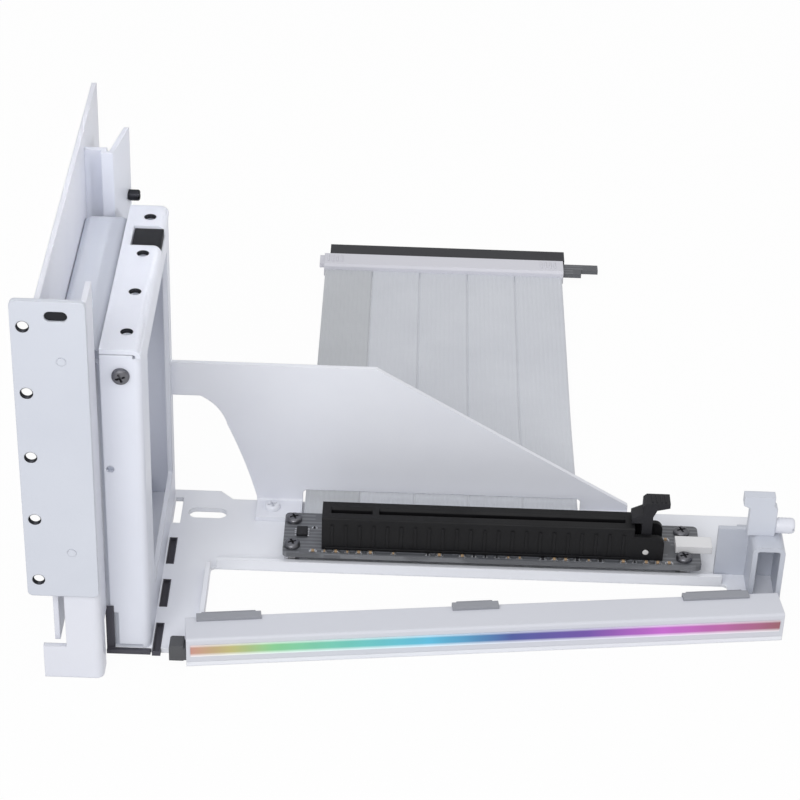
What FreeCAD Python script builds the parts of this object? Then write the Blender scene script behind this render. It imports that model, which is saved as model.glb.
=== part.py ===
import FreeCAD, Part
import math
import os

# A vertical graphics-card mount for a computer case, in millimetres.
# +Z is up, +X runs from the rear of the case along the card slot, and +Y runs away from the side
# window towards the mainboard. The origin is on the underside of the base, midway along the four
# card brackets and in the plane of their faces.

# Sheet metal
SHEET = 1.5
BEND = 2.2
CORNER = 1.5

# Card brackets, which set the pitch of everything that holds them
CARD_PITCH = 20.32
CARD_COUNT = 4
CARD_SCREW_OFFSET = 4.0
CARD_SCREW_INSET = 4.6
CARD_SCREW_RADIUS = 1.75
BRACKET_SLOT_LENGTH = 13.0
BRACKET_SLOT_WIDTH = 2.4
BRACKET_SLOT_INSET = 0.4
LINED_SLOTS = 3
LINING_WALL = 0.35

# Card frame: a folded ring that the card's brackets screw to
FRAME_NEAR = -35.5
FRAME_FAR = 41.0
FRAME_WIDTH = 11.0
FRAME_TOP = 102.0
FRAME_WINDOW_NEAR = -21.0
FRAME_WINDOW_FAR = 33.0
FRAME_WINDOW_BOTTOM = 13.0
FRAME_WINDOW_TOP = 92.0
GRIP_SLOT = (-8.6, 0.1, 18.6, 29.4)
GRIP_SLOT_DEPTH = 3.4
HEEL_NOTCH = (2.2, 14.0)
HEEL_GAP = 1.2
EDGE_HOLE = (-9.3, 63.5)
EDGE_HOLE_RADIUS = 1.1
FOLD_RELIEF = 0.5
FOLD_GAP = 0.2

# Carriage: the inner channel that joins the card frame to the rear plate
CARRIAGE_GAP = 0.2
CARRIAGE_FLANGE = 9.0
CARRIAGE_RIVET_Y = (-22.0, 4.0, 30.0)
CARRIAGE_NEAR = -31.0
CARRIAGE_FAR = 39.0
CARRIAGE_TOP = 99.0

# Rear plate, which takes the place of the case's slot covers
REAR_X = -25.5
REAR_NEAR = -47.5
REAR_FAR = 75.5
REAR_TOP = 123.0
REAR_FLANGE = 13.5
REAR_RETURN = 11.5
RETURN_NOTCH = (5.0, 16.0)
REAR_WINDOW = (-34.0, 58.0, 20.0, 84.0)
FOOT_WIDTH = 16.4
FOOT_HEIGHT = 11.0
FOOT_NOTCH_TOP = 30.0
FOOT_NOTCH_WIDTH = 3.6
TONGUE_RISE = 14.0
TONGUE_LENGTH = 8.0
TONGUE_WIDTH = 9.0

# Screw lip, which goes under the case's slot-cover screws
LIP_WIDTH = 19.4
LIP_SIDE = -31.4
LIP_BOTTOM = 30.0
LIP_TOP = 124.5
LIP_SCREW_X = -28.2
LIP_SCREW_RADIUS = 1.75
LIP_FIRST_SCREW = 35.5
LIP_SCREW_COUNT = 5
LIP_SLOT_X = -19.6
LIP_SLOT_DOWN = 4.4
LIP_SLOT_LENGTH = 6.0
LIP_SLOT_RADIUS = 1.5
LINER_SUNK = 0.6
LIP_RIVET_DOWN = 18.0
LIP_RIVET_UP = 15.0

# Far post between the rear plate and the card frame
POST_NEAR = 41.8
POST_DEPTH = 16.0
POST_TOP = 118.0
POST_LEFT = -19.0
POST_FACE = 3.5
POST_LEAN = 2.8
POST_STEP = 2.0
POST_SCREW_UP = 97.3
POST_SCREW_IN = 2.8

# Riser board and card slot
SLOT_LEFT = 46.5
SLOT_LENGTH = 92.0
LATCH_HOUSING = 9.0
BOARD_MARGIN = 11.5
BOARD_LEFT = SLOT_LEFT - BOARD_MARGIN
BOARD_RIGHT = SLOT_LEFT + SLOT_LENGTH + LATCH_HOUSING + BOARD_MARGIN
BOARD_NEAR = 3.2
BOARD_FAR = 23.0
BOARD_THICKNESS = 1.6
STANDOFF_HEIGHT = 4.5
STANDOFF_RADIUS = 2.2
BOARD_SCREW_X = (BOARD_LEFT + 2.7, BOARD_RIGHT - 5.0)
BOARD_SCREW_Y = (6.8, 19.4)
SLOT_NEAR = 5.5
SLOT_DEPTH = 8.8
SLOT_HEIGHT = 11.3
SLOT_MOUTH = 1.9
SLOT_FLOOR = 3.0
SLOT_END_WALL = 2.6
KEY_PLACE = 12.2
KEY_WIDTH = 1.9
CONTACT_PITCH = 4.0
CONTACT_WIDTH = 1.8
CONTACT_THICKNESS = 0.3

# End bracket and support post at the right
END_WIDTH = 9.5
END_CLEARANCE = 13.4
END_LEFT = BOARD_RIGHT + END_CLEARANCE
END_RIGHT = END_LEFT + END_WIDTH
END_NEAR = -3.0
END_FAR = 9.5
END_TOP = 20.0
WING_WIDTH = 9.0
WING_TOP = 18.4
END_SCREW_Y = (15.0, 25.0)
SUPPORT_LEFT = END_LEFT - 1.4
SUPPORT_WIDTH = 8.0
SUPPORT_NEAR = 3.0
SUPPORT_THICKNESS = 3.0
SUPPORT_TOP = 33.8
FLARE_START = 9.6
FLARE_REACH = 2.0
SUPPORT_SCREW_UP = 2.9

# Base frame: the flat sheet with the riser tray, the bar's arm and the bracket slots
WEB_RIGHT = 14.0
TRAY_NEAR = 3.0
TRAY_FAR = 37.0
TRAY_LIP = 4.2
ARM_DEPTH = 10.0
BAR_YAW = 7.0
BAR_START_X = 10.6
BAR_START_Y = -41.1
BAR_SHORT = 1.0
BAR_END_X = END_RIGHT - BAR_SHORT
BAR_LENGTH = (BAR_END_X - BAR_START_X) / math.cos(math.radians(BAR_YAW))
TRAY_EDGE = 2.5
TRAY_RIGHT = END_RIGHT - TRAY_EDGE
WINDOW_SHORT = 5.5
WINDOW_RIGHT = END_LEFT - WINDOW_SHORT
ADJUST_SLOT_CENTRE = (10.8, 29.5)
ADJUST_SLOT_LENGTH = 11.6
ADJUST_SLOT_WIDTH = 5.0

# Light bar
BAR_HEIGHT = 8.0
BAR_WALL = 1.2
STRIP_BOTTOM = 2.1
STRIP_HEIGHT = 3.9
STRIP_PROUD = 0.3
CLIP_PLACES = ((0.019, 18.4), (0.445, 13.4), (0.836, 19.4))
CLIP_DEPTH = 2.2
CLIP_WALL = 0.8
CLIP_ROOF = 2.0
LED_COUNT = 18
PLUG_REACH = 5.0
PLUG_BOTTOM = 1.2
PLUG_TOP = 6.4
PLUG_GAP = 0.9
LED_SIZE = 2.8
LED_MARGIN = 6.0

# Back brace, the upright gusset behind the slot
BRACE_TOP = 52.0
BRACE_CREST = 61.0
BRACE_TOE = 139.0
BRACE_HEEL = 25.4
BRACE_ARM_BOTTOM = 40.6
BRACE_SHOULDER = 8.5
BRACE_KNEE = (16.6, 30.4)
SHOULDER_BOW = (13.4, 36.8)
HEEL_BOW = (20.8, 19.6)
BRACE_FOOT_DEPTH = 9.0
PASS_CLEARANCE = 0.9
PASS_TOP = 7.2

# Pale socket at the board's right end
CONNECTOR_ON_BOARD = 7.4
CONNECTOR_LENGTH = 10.8
CONNECTOR_NEAR = 9.6
CONNECTOR_DEPTH = 5.2
CONNECTOR_HEIGHT = 2.4
CONNECTOR_WALL = 0.6

# Card latch at the slot's end
LATCH_PIVOT_IN = 3.7
LATCH_PIVOT_UP = 2.9
LATCH_PIN_RADIUS = 0.9
LATCH_PIN_CLEARANCE = 0.05
LATCH_HUB = 2.3
LATCH_THICKNESS = 5.0
LATCH_TOP = 19.4
LATCH_STEM = 3.0
LATCH_BEAK = 3.2
BEAK_BOTTOM = 7.4
BEAK_TOP = 5.6
PAD_REACH = 6.2
PAD_THICKNESS = 1.6
PAD_ROOT = 5.0

# Ribbon cable: flat strands side by side
STRAND_COUNT = 5
STRAND_PITCH = 16.7
STRAND_WIDTH = 16.4
STRAND_THICKNESS = 1.2
RIBBON_MIDDLE = 82.0
CLAMP_NEAR = 17.0
CLAMP_CHAMFER = 0.7
CLAMP_FAR = 25.0
CLAMP_HEIGHT = 3.0
RIBBON_ROUTE = ((25.0, 4.2), (50.0, 4.2), (88.0, 1.2), (130.0, 2.7), (173.0, 2.7))

# Plug at the ribbon's far end
PLUG_NEAR = 173.0
PLUG_DEPTH = 8.5
PLUG_HEIGHT = 5.2
PLUG_SIDE = 0.6
PLUG_EAR = 1.6
PLUG_EAR_DEPTH = 6.5
FINGER_LENGTH = 5.6
FINGER_INSET = 2.5
FINGER_MARGIN = 0.8
FINGER_KEY = 11.7
HOOK_REACH = 13.0
HOOK_STEM = 7.0
HOOK_DEPTH = 3.6
HOOK_DROP = 2.8
PLUG_CHAMFER = 0.8
CAP_WALL = 0.9
CAP_GAP = 0.3
CAP_START = 0.3

# Fasteners
HEAD_RADIUS = 2.4
HEAD_HEIGHT = 1.5
SHANK_RADIUS = 1.2
SHANK_SIDES = 6
RIVET_SIDES = 12
THUMB_RADIUS = 1.7
THUMB_LENGTH = 3.4
PEG_RADIUS = 2.4
PEG_LENGTH = 5.6
RIVET_PROUD = 0.15
FRAME_SCREW_DOWN = 8.0

EPS = 0.01
V = FreeCAD.Vector
X_AXIS = V(1, 0, 0)
Y_AXIS = V(0, 1, 0)
Z_AXIS = V(0, 0, 1)


def block(x0, x1, y0, y1, z0, z1):
    return Part.makeBox(x1 - x0, y1 - y0, z1 - z0, V(x0, y0, z0))


def rod(centre, radius, length, axis):
    return Part.makeCylinder(radius, length, V(*centre), axis)


def flat_outline(points, z0, z1):
    """A sheet with this outline in plan."""
    wire = Part.makePolygon([V(x, y, z0) for x, y in points + [points[0]]])
    return Part.Face(wire).extrude(V(0, 0, z1 - z0))


def upright_outline(points, y0, y1):
    """A sheet with this outline seen from the front."""
    wire = Part.makePolygon([V(x, y0, z) for x, z in points + [points[0]]])
    return Part.Face(wire).extrude(V(0, y1 - y0, 0))


def edges_through(shape, axis, place):
    """The straight edges along an axis that pass through a place given by its other two coordinates."""
    others = [i for i in range(3) if abs((axis.x, axis.y, axis.z)[i]) < 0.5]
    found = []
    for edge in shape.Edges:
        if len(edge.Vertexes) != 2 or not isinstance(edge.Curve, Part.Line):
            continue
        ends = [(v.X, v.Y, v.Z) for v in edge.Vertexes]
        if all(abs(end[i] - value) < 0.02 for end in ends for i, value in zip(others, place)):
            found.append(edge)
    return found


def rounded(shape, radius, axis, *places):
    edges = [edge for place in places for edge in edges_through(shape, axis, place)]
    return shape.makeFillet(radius, edges)


def placed(u, v, axis, at):
    """A point across an axis: Y and Z for X, X and Z for Y, X and Y for Z."""
    if axis is X_AXIS:
        return V(at, u, v)
    if axis is Y_AXIS:
        return V(u, at, v)
    return V(u, v, at)


def bent_line(points, radii, axis, at):
    """Edges through the points, with a tangent arc at each bend."""
    places = [placed(u, v, axis, at) for u, v in points]
    edges = []
    start = places[0]
    for before, corner, after, radius in zip(places, places[1:], places[2:], radii):
        run_in = (corner - before).normalize()
        run_out = (after - corner).normalize()
        half_turn = run_in.getAngle(run_out) / 2
        setback = radius * math.tan(half_turn)
        enter = corner - run_in * setback
        leave = corner + run_out * setback
        inward = (run_out - run_in).normalize()
        middle = corner + inward * (radius / math.cos(half_turn) - radius)
        edges.append(Part.LineSegment(start, enter).toShape())
        edges.append(Part.Arc(enter, middle, leave).toShape())
        start = leave
    edges.append(Part.LineSegment(start, places[-1]).toShape())
    return edges


def folded(points, axis, start, end):
    """A sheet folded along a line; its thickness lies to the left of the line's run."""
    steps = [(b[0] - a[0], b[1] - a[1]) for a, b in zip(points, points[1:])]
    units = [(u / math.hypot(u, v), v / math.hypot(u, v)) for u, v in steps]
    lefts = [(-v, u) for u, v in units]
    pairs = list(zip([lefts[0]] + lefts, lefts + [lefts[-1]]))
    inner = []
    for (u, v), (a, b) in zip(points, pairs):
        scale = SHEET / (1 + a[0] * b[0] + a[1] * b[1])
        inner.append((u + scale * (a[0] + b[0]), v + scale * (a[1] + b[1])))
    turns = [a[0] * b[1] - a[1] * b[0] for a, b in zip(units, units[1:])]
    radii = [BEND if turn > 0 else BEND - SHEET for turn in turns]
    other = [BEND - SHEET if turn > 0 else BEND for turn in turns]
    near_side = bent_line(points, radii, axis, start)
    far_side = bent_line(inner, other, axis, start)
    caps = [Part.LineSegment(placed(*points[i], axis, start), placed(*inner[i], axis, start)).toShape()
            for i in (0, -1)]
    wire = Part.Wire(Part.__sortEdges__(near_side + far_side + caps))
    return Part.Face(wire).extrude(axis * (end - start))


def fused(shapes):
    return shapes[0].fuse(shapes[1:]).removeSplitter()


def card_places():
    half = (CARD_COUNT - 1) / 2
    return [(i - half) * CARD_PITCH for i in range(CARD_COUNT)]


def slot_hole(centre, radius, length, depth, along, through):
    """A round-ended slot cutter that runs along one axis and goes through along another."""
    reach = length / 2 - radius
    ends = [V(*centre) - along * reach, V(*centre) + along * reach]
    across = through.cross(along)
    corners = [ends[0] - across * radius, ends[1] - across * radius,
               ends[1] + across * radius, ends[0] + across * radius]
    middle = Part.Face(Part.makePolygon(corners + [corners[0]])).extrude(through * depth)
    return fused([middle] + [Part.makeCylinder(radius, depth, end, through) for end in ends])


def peg(start, radius, length, axis, sides):
    """A straight peg with flat sides."""
    across = X_AXIS if abs(axis.x) < 0.5 else Y_AXIS
    beside = axis.cross(across)
    turns = [2 * math.pi * i / sides for i in range(sides)]
    corners = [start + across * (radius * math.cos(t)) + beside * (radius * math.sin(t)) for t in turns]
    return Part.Face(Part.makePolygon(corners + [corners[0]])).extrude(axis * length)


def pan_head(seat, axis, shank_length):
    """A screw whose head stands on the seat and whose shank goes back from it."""
    head = Part.makeCylinder(HEAD_RADIUS, HEAD_HEIGHT, seat, axis)
    return head.fuse(peg(seat - axis * shank_length, SHANK_RADIUS, shank_length, axis, SHANK_SIDES))


def thumb_screw(seat, axis, shank_length, radius, length):
    """A screw with a plain round grip."""
    grip = Part.makeCylinder(radius, length, seat, axis)
    return grip.fuse(peg(seat - axis * shank_length, SHANK_RADIUS, shank_length, axis, SHANK_SIDES))


def frame_screw_seat():
    return V(-FRAME_WIDTH / 2, FRAME_NEAR, FRAME_TOP - FRAME_SCREW_DOWN)


def card_screw_places():
    return [(-CARD_SCREW_INSET, y + CARD_SCREW_OFFSET) for y in card_places()]


def frame_window(left, right):
    """The opening for the cards' port brackets, through a wall between these two X values."""
    window = block(left - 1, right + 1, FRAME_WINDOW_NEAR, FRAME_WINDOW_FAR,
                   FRAME_WINDOW_BOTTOM, FRAME_WINDOW_TOP)
    corners = [(y, z) for y in (FRAME_WINDOW_NEAR, FRAME_WINDOW_FAR)
               for z in (FRAME_WINDOW_BOTTOM, FRAME_WINDOW_TOP)]
    return rounded(window, CORNER, X_AXIS, *corners)


def card_frame():
    flap_top = FRAME_TOP - BEND - FOLD_RELIEF
    walls = folded([(-FRAME_WIDTH, FRAME_FAR), (0, FRAME_FAR), (0, FRAME_NEAR), (-FRAME_WIDTH, FRAME_NEAR)][::-1],
                   Z_AXIS, SHEET, flap_top)
    lid = folded([(0, flap_top), (0, FRAME_TOP), (-FRAME_WIDTH, FRAME_TOP)],
                 Y_AXIS, FRAME_NEAR, FRAME_FAR)
    flaps = [block(-FRAME_WIDTH, -BEND, y, y + SHEET, flap_top, FRAME_TOP - SHEET - FOLD_GAP)
             for y in (FRAME_NEAR, FRAME_FAR - SHEET)]
    shape = fused([walls, lid] + flaps).cut(frame_window(-SHEET, 0))
    for x, y in card_screw_places():
        shape = shape.cut(rod((x, y, FRAME_TOP - SHEET - 1), CARD_SCREW_RADIUS, SHEET + 2, Z_AXIS))
    x0, x1, y0, y1 = GRIP_SLOT
    shape = shape.cut(block(x0, x1, y0, y1, FRAME_TOP - GRIP_SLOT_DEPTH, FRAME_TOP + 1))
    notch_width, notch_top = HEEL_NOTCH
    side, near, through = -FRAME_WIDTH - 1, FRAME_NEAR - 1, FRAME_NEAR + SHEET + 1
    notch = block(side, -FRAME_WIDTH + notch_width, near, through, 0, notch_top)
    heel = block(side, -BEND, near, through, 0, SHEET + HEEL_GAP)
    x, z = EDGE_HOLE
    edge_hole = rod((x, FRAME_NEAR - 1, z), EDGE_HOLE_RADIUS, SHEET + 2, Y_AXIS)
    return shape.cut(notch).cut(heel).cut(edge_hole)


def carriage():
    right = -FRAME_WIDTH - CARRIAGE_GAP
    left = right - SHEET
    near = FRAME_NEAR + SHEET
    fold_top = CARRIAGE_TOP - BEND - FOLD_RELIEF
    side = folded([(left, CARRIAGE_FAR), (left, near), (-BEND - CARRIAGE_GAP, near)], Z_AXIS, SHEET, fold_top)
    wall = REAR_X + SHEET
    lid = folded([(right, fold_top), (right, CARRIAGE_TOP), (wall, CARRIAGE_TOP),
                  (wall, CARRIAGE_TOP - CARRIAGE_FLANGE)], Y_AXIS, CARRIAGE_NEAR, CARRIAGE_FAR)
    return fused([side, lid]).cut(frame_window(left, right))


def carriage_rivets():
    z = CARRIAGE_TOP - CARRIAGE_FLANGE / 2 - 1
    return Part.makeCompound([pan_head(V(REAR_X, y, z), -X_AXIS, 2 * SHEET + 1) for y in CARRIAGE_RIVET_Y])


def frame_screw():
    """The near face's screw, which holds the card frame to the carriage."""
    return pan_head(frame_screw_seat(), -Y_AXIS, 2 * SHEET + 1)


def rear_plate():
    left = REAR_X
    right = REAR_X + SHEET
    side = left + REAR_FLANGE
    foot_left = side - FOOT_WIDTH
    return_far = REAR_NEAR + REAR_RETURN
    plate = folded([(left, REAR_FAR), (left, REAR_NEAR), (side, REAR_NEAR), (side, return_far)],
                   Z_AXIS, FOOT_HEIGHT, REAR_TOP)
    foot = folded([(foot_left, REAR_NEAR), (side, REAR_NEAR), (side, return_far)], Z_AXIS, 0, FOOT_HEIGHT)
    notch = block(left - 1, left + FOOT_NOTCH_WIDTH, REAR_NEAR - 1, REAR_NEAR + BEND + 1,
                  FOOT_HEIGHT, FOOT_NOTCH_TOP)
    tongue_places = [FOOT_HEIGHT + TONGUE_RISE + CARD_PITCH * i for i in range(CARD_COUNT)]
    tongues = [block(left, right, REAR_FAR - 1, REAR_FAR + TONGUE_LENGTH, z, z + TONGUE_WIDTH)
               for z in tongue_places]
    y0, y1, z0, z1 = REAR_WINDOW
    window = block(left - 1, right + 1, y0, y1, z0, z1)
    window = rounded(window, 2 * CORNER, X_AXIS, *[(y, z) for y in (y0, y1) for z in (z0, z1)])
    depth, height = RETURN_NOTCH
    gap = block(side - SHEET - 1, side + 1, return_far - depth, return_far + 1, -1, height)
    return fused([plate, foot] + tongues).cut(notch).cut(window).cut(gap)


def lip_screw_places():
    return [(LIP_SCREW_X, LIP_FIRST_SCREW + CARD_PITCH * i) for i in range(LIP_SCREW_COUNT)]


def lip_rivet_places():
    x = REAR_X + REAR_FLANGE / 2
    return [(x, LIP_TOP - LIP_RIVET_DOWN), (x, LIP_BOTTOM + LIP_RIVET_UP)]


def lip_slot(near, depth):
    """A cutter for the slot near the lip's top."""
    start = (LIP_SLOT_X, near, LIP_TOP - LIP_SLOT_DOWN)
    return slot_hole(start, LIP_SLOT_RADIUS, LIP_SLOT_LENGTH, depth, X_AXIS, Y_AXIS)


def lip_slot_liner():
    """A soft blank that sits low in the lip's slot."""
    return lip_slot(REAR_NEAR - SHEET + LINER_SUNK, SHEET - LINER_SUNK)


def screw_lip():
    far = REAR_NEAR
    near = far - SHEET
    shape = block(LIP_SIDE, LIP_SIDE + LIP_WIDTH, near, far, LIP_BOTTOM, LIP_TOP)
    corners = [(LIP_SIDE, LIP_BOTTOM), (LIP_SIDE, LIP_TOP),
               (LIP_SIDE + LIP_WIDTH, LIP_BOTTOM), (LIP_SIDE + LIP_WIDTH, LIP_TOP)]
    shape = rounded(shape, CORNER, Y_AXIS, *corners)
    for x, z in lip_screw_places():
        shape = shape.cut(rod((x, near - 1, z), LIP_SCREW_RADIUS, SHEET + 2, Y_AXIS))
    return shape.cut(lip_slot(near - 1, SHEET + 2))


def lip_rivets():
    """Rivets that lie nearly flush in the lip."""
    near = REAR_NEAR - SHEET - RIVET_PROUD
    return Part.makeCompound([peg(V(x, near, z), SHANK_RADIUS, 2 * SHEET + RIVET_PROUD, Y_AXIS, RIVET_SIDES)
                              for x, z in lip_rivet_places()])


def post_side(depth):
    """The X of the post's leaning side at this depth behind its face."""
    return POST_LEFT + POST_FACE + POST_LEAN * depth / POST_DEPTH


def far_post():
    """A channel with a leaning, shaded side and a flange against the rear plate."""
    wall = REAR_X + SHEET
    far = POST_NEAR + POST_DEPTH
    inner = POST_NEAR + SHEET
    flange = POST_NEAR + POST_STEP
    right = post_side(POST_DEPTH)
    outline = [(wall, flange), (POST_LEFT, flange), (POST_LEFT, POST_NEAR), (post_side(0), POST_NEAR),
               (right, far), (right - SHEET, far), (post_side(SHEET) - SHEET, inner),
               (POST_LEFT + SHEET, inner), (POST_LEFT + SHEET, flange + SHEET), (wall, flange + SHEET)]
    return flat_outline(outline, SHEET, POST_TOP)


def thumb_seat():
    depth = POST_DEPTH - POST_SCREW_IN
    return V(post_side(depth), POST_NEAR + depth, POST_SCREW_UP)


def frame_thumb_screw():
    return thumb_screw(thumb_seat(), X_AXIS, SHEET, THUMB_RADIUS, THUMB_LENGTH)


def bar_point(along, across):
    """A point of the light bar's plan, from its near left corner."""
    turn = math.radians(BAR_YAW)
    x = BAR_START_X + along * math.cos(turn) - across * math.sin(turn)
    y = BAR_START_Y + along * math.sin(turn) + across * math.cos(turn)
    return x, y


def bar_block(a0, a1, c0, c1, z0, z1):
    """A block along the light bar: a0 to a1 along it and c0 to c1 across it."""
    plan = [bar_point(a0, c0), bar_point(a1, c0), bar_point(a1, c1), bar_point(a0, c1)]
    return flat_outline(plan, z0, z1)


def on_arm_far_edge(x):
    """Where the arm's far edge lies at this X."""
    start_x, start_y = bar_point(0, ARM_DEPTH)
    return start_y + (x - start_x) * math.tan(math.radians(BAR_YAW))


def bracket_slots():
    right = BRACKET_SLOT_INSET + BRACKET_SLOT_WIDTH
    half = BRACKET_SLOT_LENGTH / 2
    return [block(BRACKET_SLOT_INSET, right, y - half, y + half, 0, SHEET) for y in card_places()]


def slot_linings():
    """Soft linings that sit in the nearer bracket slots, closed below."""
    left = BRACKET_SLOT_INSET + LINING_WALL
    right = BRACKET_SLOT_INSET + BRACKET_SLOT_WIDTH - LINING_WALL
    half = BRACKET_SLOT_LENGTH / 2 - LINING_WALL
    hollows = [block(left, right, y - half, y + half, LINING_WALL, SHEET) for y in card_places()[:LINED_SLOTS]]
    return Part.makeCompound([outer.cut(hollow) for outer, hollow in zip(bracket_slots(), hollows)])


def base_frame():
    arm_left, arm_near = bar_point(0, 0)
    arm_right, arm_right_near = bar_point(BAR_LENGTH, 0)
    outline = [(-FRAME_WIDTH, FRAME_NEAR), (arm_left, FRAME_NEAR), (arm_left, arm_near),
               (arm_right, arm_right_near), (arm_right, END_NEAR - TRAY_EDGE), (TRAY_RIGHT + TRAY_EDGE, END_NEAR),
               (TRAY_RIGHT + TRAY_EDGE, TRAY_FAR - TRAY_EDGE), (TRAY_RIGHT, TRAY_FAR), (WEB_RIGHT + 4, TRAY_FAR),
               (WEB_RIGHT, FRAME_FAR), (-FRAME_WIDTH, FRAME_FAR)]
    plate = flat_outline(outline, 0, SHEET)
    window = [(WEB_RIGHT, TRAY_NEAR), (WEB_RIGHT, on_arm_far_edge(WEB_RIGHT)),
              (WINDOW_RIGHT, on_arm_far_edge(WINDOW_RIGHT)), (WINDOW_RIGHT, TRAY_NEAR)]
    opening = flat_outline(window, -1, SHEET + 1)
    opening = rounded(opening, CORNER, Z_AXIS, *window)
    lip = block(WEB_RIGHT + CORNER, WINDOW_RIGHT - CORNER, TRAY_NEAR, TRAY_NEAR + SHEET, 0, TRAY_LIP)
    side = block(WEB_RIGHT - SHEET, WEB_RIGHT, on_arm_far_edge(WEB_RIGHT) + 3, TRAY_NEAR - 1, 0, TRAY_LIP)
    shape = fused([plate.cut(opening), lip, side])
    shape = rounded(shape, BEND * 0.5, X_AXIS, (TRAY_NEAR, 0))
    for cutter in bracket_slots():
        shape = shape.cut(cutter)
    centre = ADJUST_SLOT_CENTRE + (-1,)
    adjust = slot_hole(centre, ADJUST_SLOT_WIDTH / 2, ADJUST_SLOT_LENGTH, SHEET + 2, X_AXIS, Z_AXIS)
    return shape.cut(adjust)


def arc_edge(start, through, end, y):
    return Part.Arc(V(start[0], y, start[1]), V(through[0], y, through[1]), V(end[0], y, end[1])).toShape()


def back_brace():
    """The gusset: an arm to the card frame, a crest, a long slope and a pass for the ribbon."""
    far = TRAY_FAR
    near = far - SHEET
    left = 0.0
    fold_top = SHEET + BEND + FOLD_RELIEF
    corners = [(left, BRACE_ARM_BOTTOM), (left, BRACE_TOP), (BRACE_CREST, BRACE_TOP),
               (BRACE_TOE, fold_top + 1), (BRACE_TOE, fold_top), (BRACE_HEEL, fold_top)]
    shoulder = (BRACE_SHOULDER, BRACE_ARM_BOTTOM)
    edges = [Part.LineSegment(V(a[0], near, a[1]), V(b[0], near, b[1])).toShape()
             for a, b in zip(corners, corners[1:])]
    edges.append(arc_edge(corners[-1], HEEL_BOW, BRACE_KNEE, near))
    edges.append(arc_edge(BRACE_KNEE, SHOULDER_BOW, shoulder, near))
    edges.append(Part.LineSegment(V(shoulder[0], near, shoulder[1]), V(left, near, shoulder[1])).toShape())
    sheet = Part.Face(Part.Wire(edges)).extrude(V(0, SHEET, 0))
    foot = folded([(near - BRACE_FOOT_DEPTH, SHEET), (far, SHEET), (far, fold_top)], X_AXIS, BRACE_HEEL, BRACE_TOE)
    pass_left = RIBBON_MIDDLE - ribbon_half() - PASS_CLEARANCE
    pass_right = RIBBON_MIDDLE + ribbon_half() + PASS_CLEARANCE
    opening = block(pass_left, pass_right, near - BRACE_FOOT_DEPTH - 1, far + 1, 0, PASS_TOP)
    opening = rounded(opening, CORNER, Y_AXIS, (pass_left, PASS_TOP), (pass_right, PASS_TOP))
    return fused([sheet, foot]).cut(opening)


def brace_screws():
    y = TRAY_FAR - SHEET - BRACE_FOOT_DEPTH / 2 + 0.5
    feet = [V(x, y, 2 * SHEET) for x in (BRACE_HEEL + 5, BRACE_TOE - 4)]
    return Part.makeCompound([pan_head(seat, Z_AXIS, 2 * SHEET) for seat in feet])


def light_bar_housing():
    base = SHEET
    top = base + BAR_HEIGHT
    body = bar_block(0, BAR_LENGTH, 0, ARM_DEPTH, base, top)
    hollow = bar_block(BAR_WALL, BAR_LENGTH - BAR_WALL, BAR_WALL, ARM_DEPTH - BAR_WALL, base + BAR_WALL, top - BAR_WALL)
    strip_base = base + STRIP_BOTTOM
    mouth = bar_block(BAR_WALL, BAR_LENGTH - BAR_WALL, -1, BAR_WALL + 0.5, strip_base, strip_base + STRIP_HEIGHT)
    shape = body.cut(hollow).cut(mouth)
    edge = [e for e in shape.Edges if len(e.Vertexes) == 2 and e.Length > BAR_LENGTH - 1
            and all(abs(v.Z - top) < EPS for v in e.Vertexes)
            and abs(e.CenterOfMass.y - bar_point(BAR_LENGTH / 2, 0)[1]) < 0.5]
    return shape.makeFillet(0.8, edge)


def light_diffuser():
    base = SHEET + STRIP_BOTTOM
    lens = bar_block(BAR_WALL, BAR_LENGTH - BAR_WALL, -STRIP_PROUD, BAR_WALL, base, base + STRIP_HEIGHT)
    flange = bar_block(BAR_WALL, BAR_LENGTH - BAR_WALL, BAR_WALL, BAR_WALL + 0.8, base - 0.1, base + STRIP_HEIGHT + 0.6)
    return fused([lens, flange])


def led_place(i):
    inset = BAR_WALL + LED_MARGIN
    return inset + i * (BAR_LENGTH - 2 * inset) / (LED_COUNT - 1)


def led_board():
    across = ARM_DEPTH - BAR_WALL - 1.6
    base = SHEET + BAR_WALL
    return bar_block(BAR_WALL, BAR_LENGTH - BAR_WALL, across, ARM_DEPTH - BAR_WALL, base, SHEET + BAR_HEIGHT - BAR_WALL)


def led_row():
    face = ARM_DEPTH - BAR_WALL - 1.6
    z = SHEET + STRIP_BOTTOM + STRIP_HEIGHT / 2
    half = LED_SIZE / 2
    leds = [bar_block(led_place(i) - half, led_place(i) + half, face - 1.2, face, z - half, z + half)
            for i in range(LED_COUNT)]
    return Part.makeCompound(leds)


def bar_clips():
    """Spring clips on the bar's far edge."""
    top = SHEET + BAR_HEIGHT
    clips = []
    for share, length in CLIP_PLACES:
        start = share * BAR_LENGTH
        end = start + length
        far = ARM_DEPTH + CLIP_WALL
        back = bar_block(start, end, ARM_DEPTH, far, SHEET, top + CLIP_WALL)
        roof = bar_block(start, end, ARM_DEPTH - CLIP_ROOF, far, top, top + CLIP_WALL)
        shelf = bar_block(start + SHEET, end - SHEET, far, ARM_DEPTH + CLIP_DEPTH, top - 1.0, top)
        clips.append(fused([back, roof, shelf]))
    return Part.makeCompound(clips)


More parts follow.
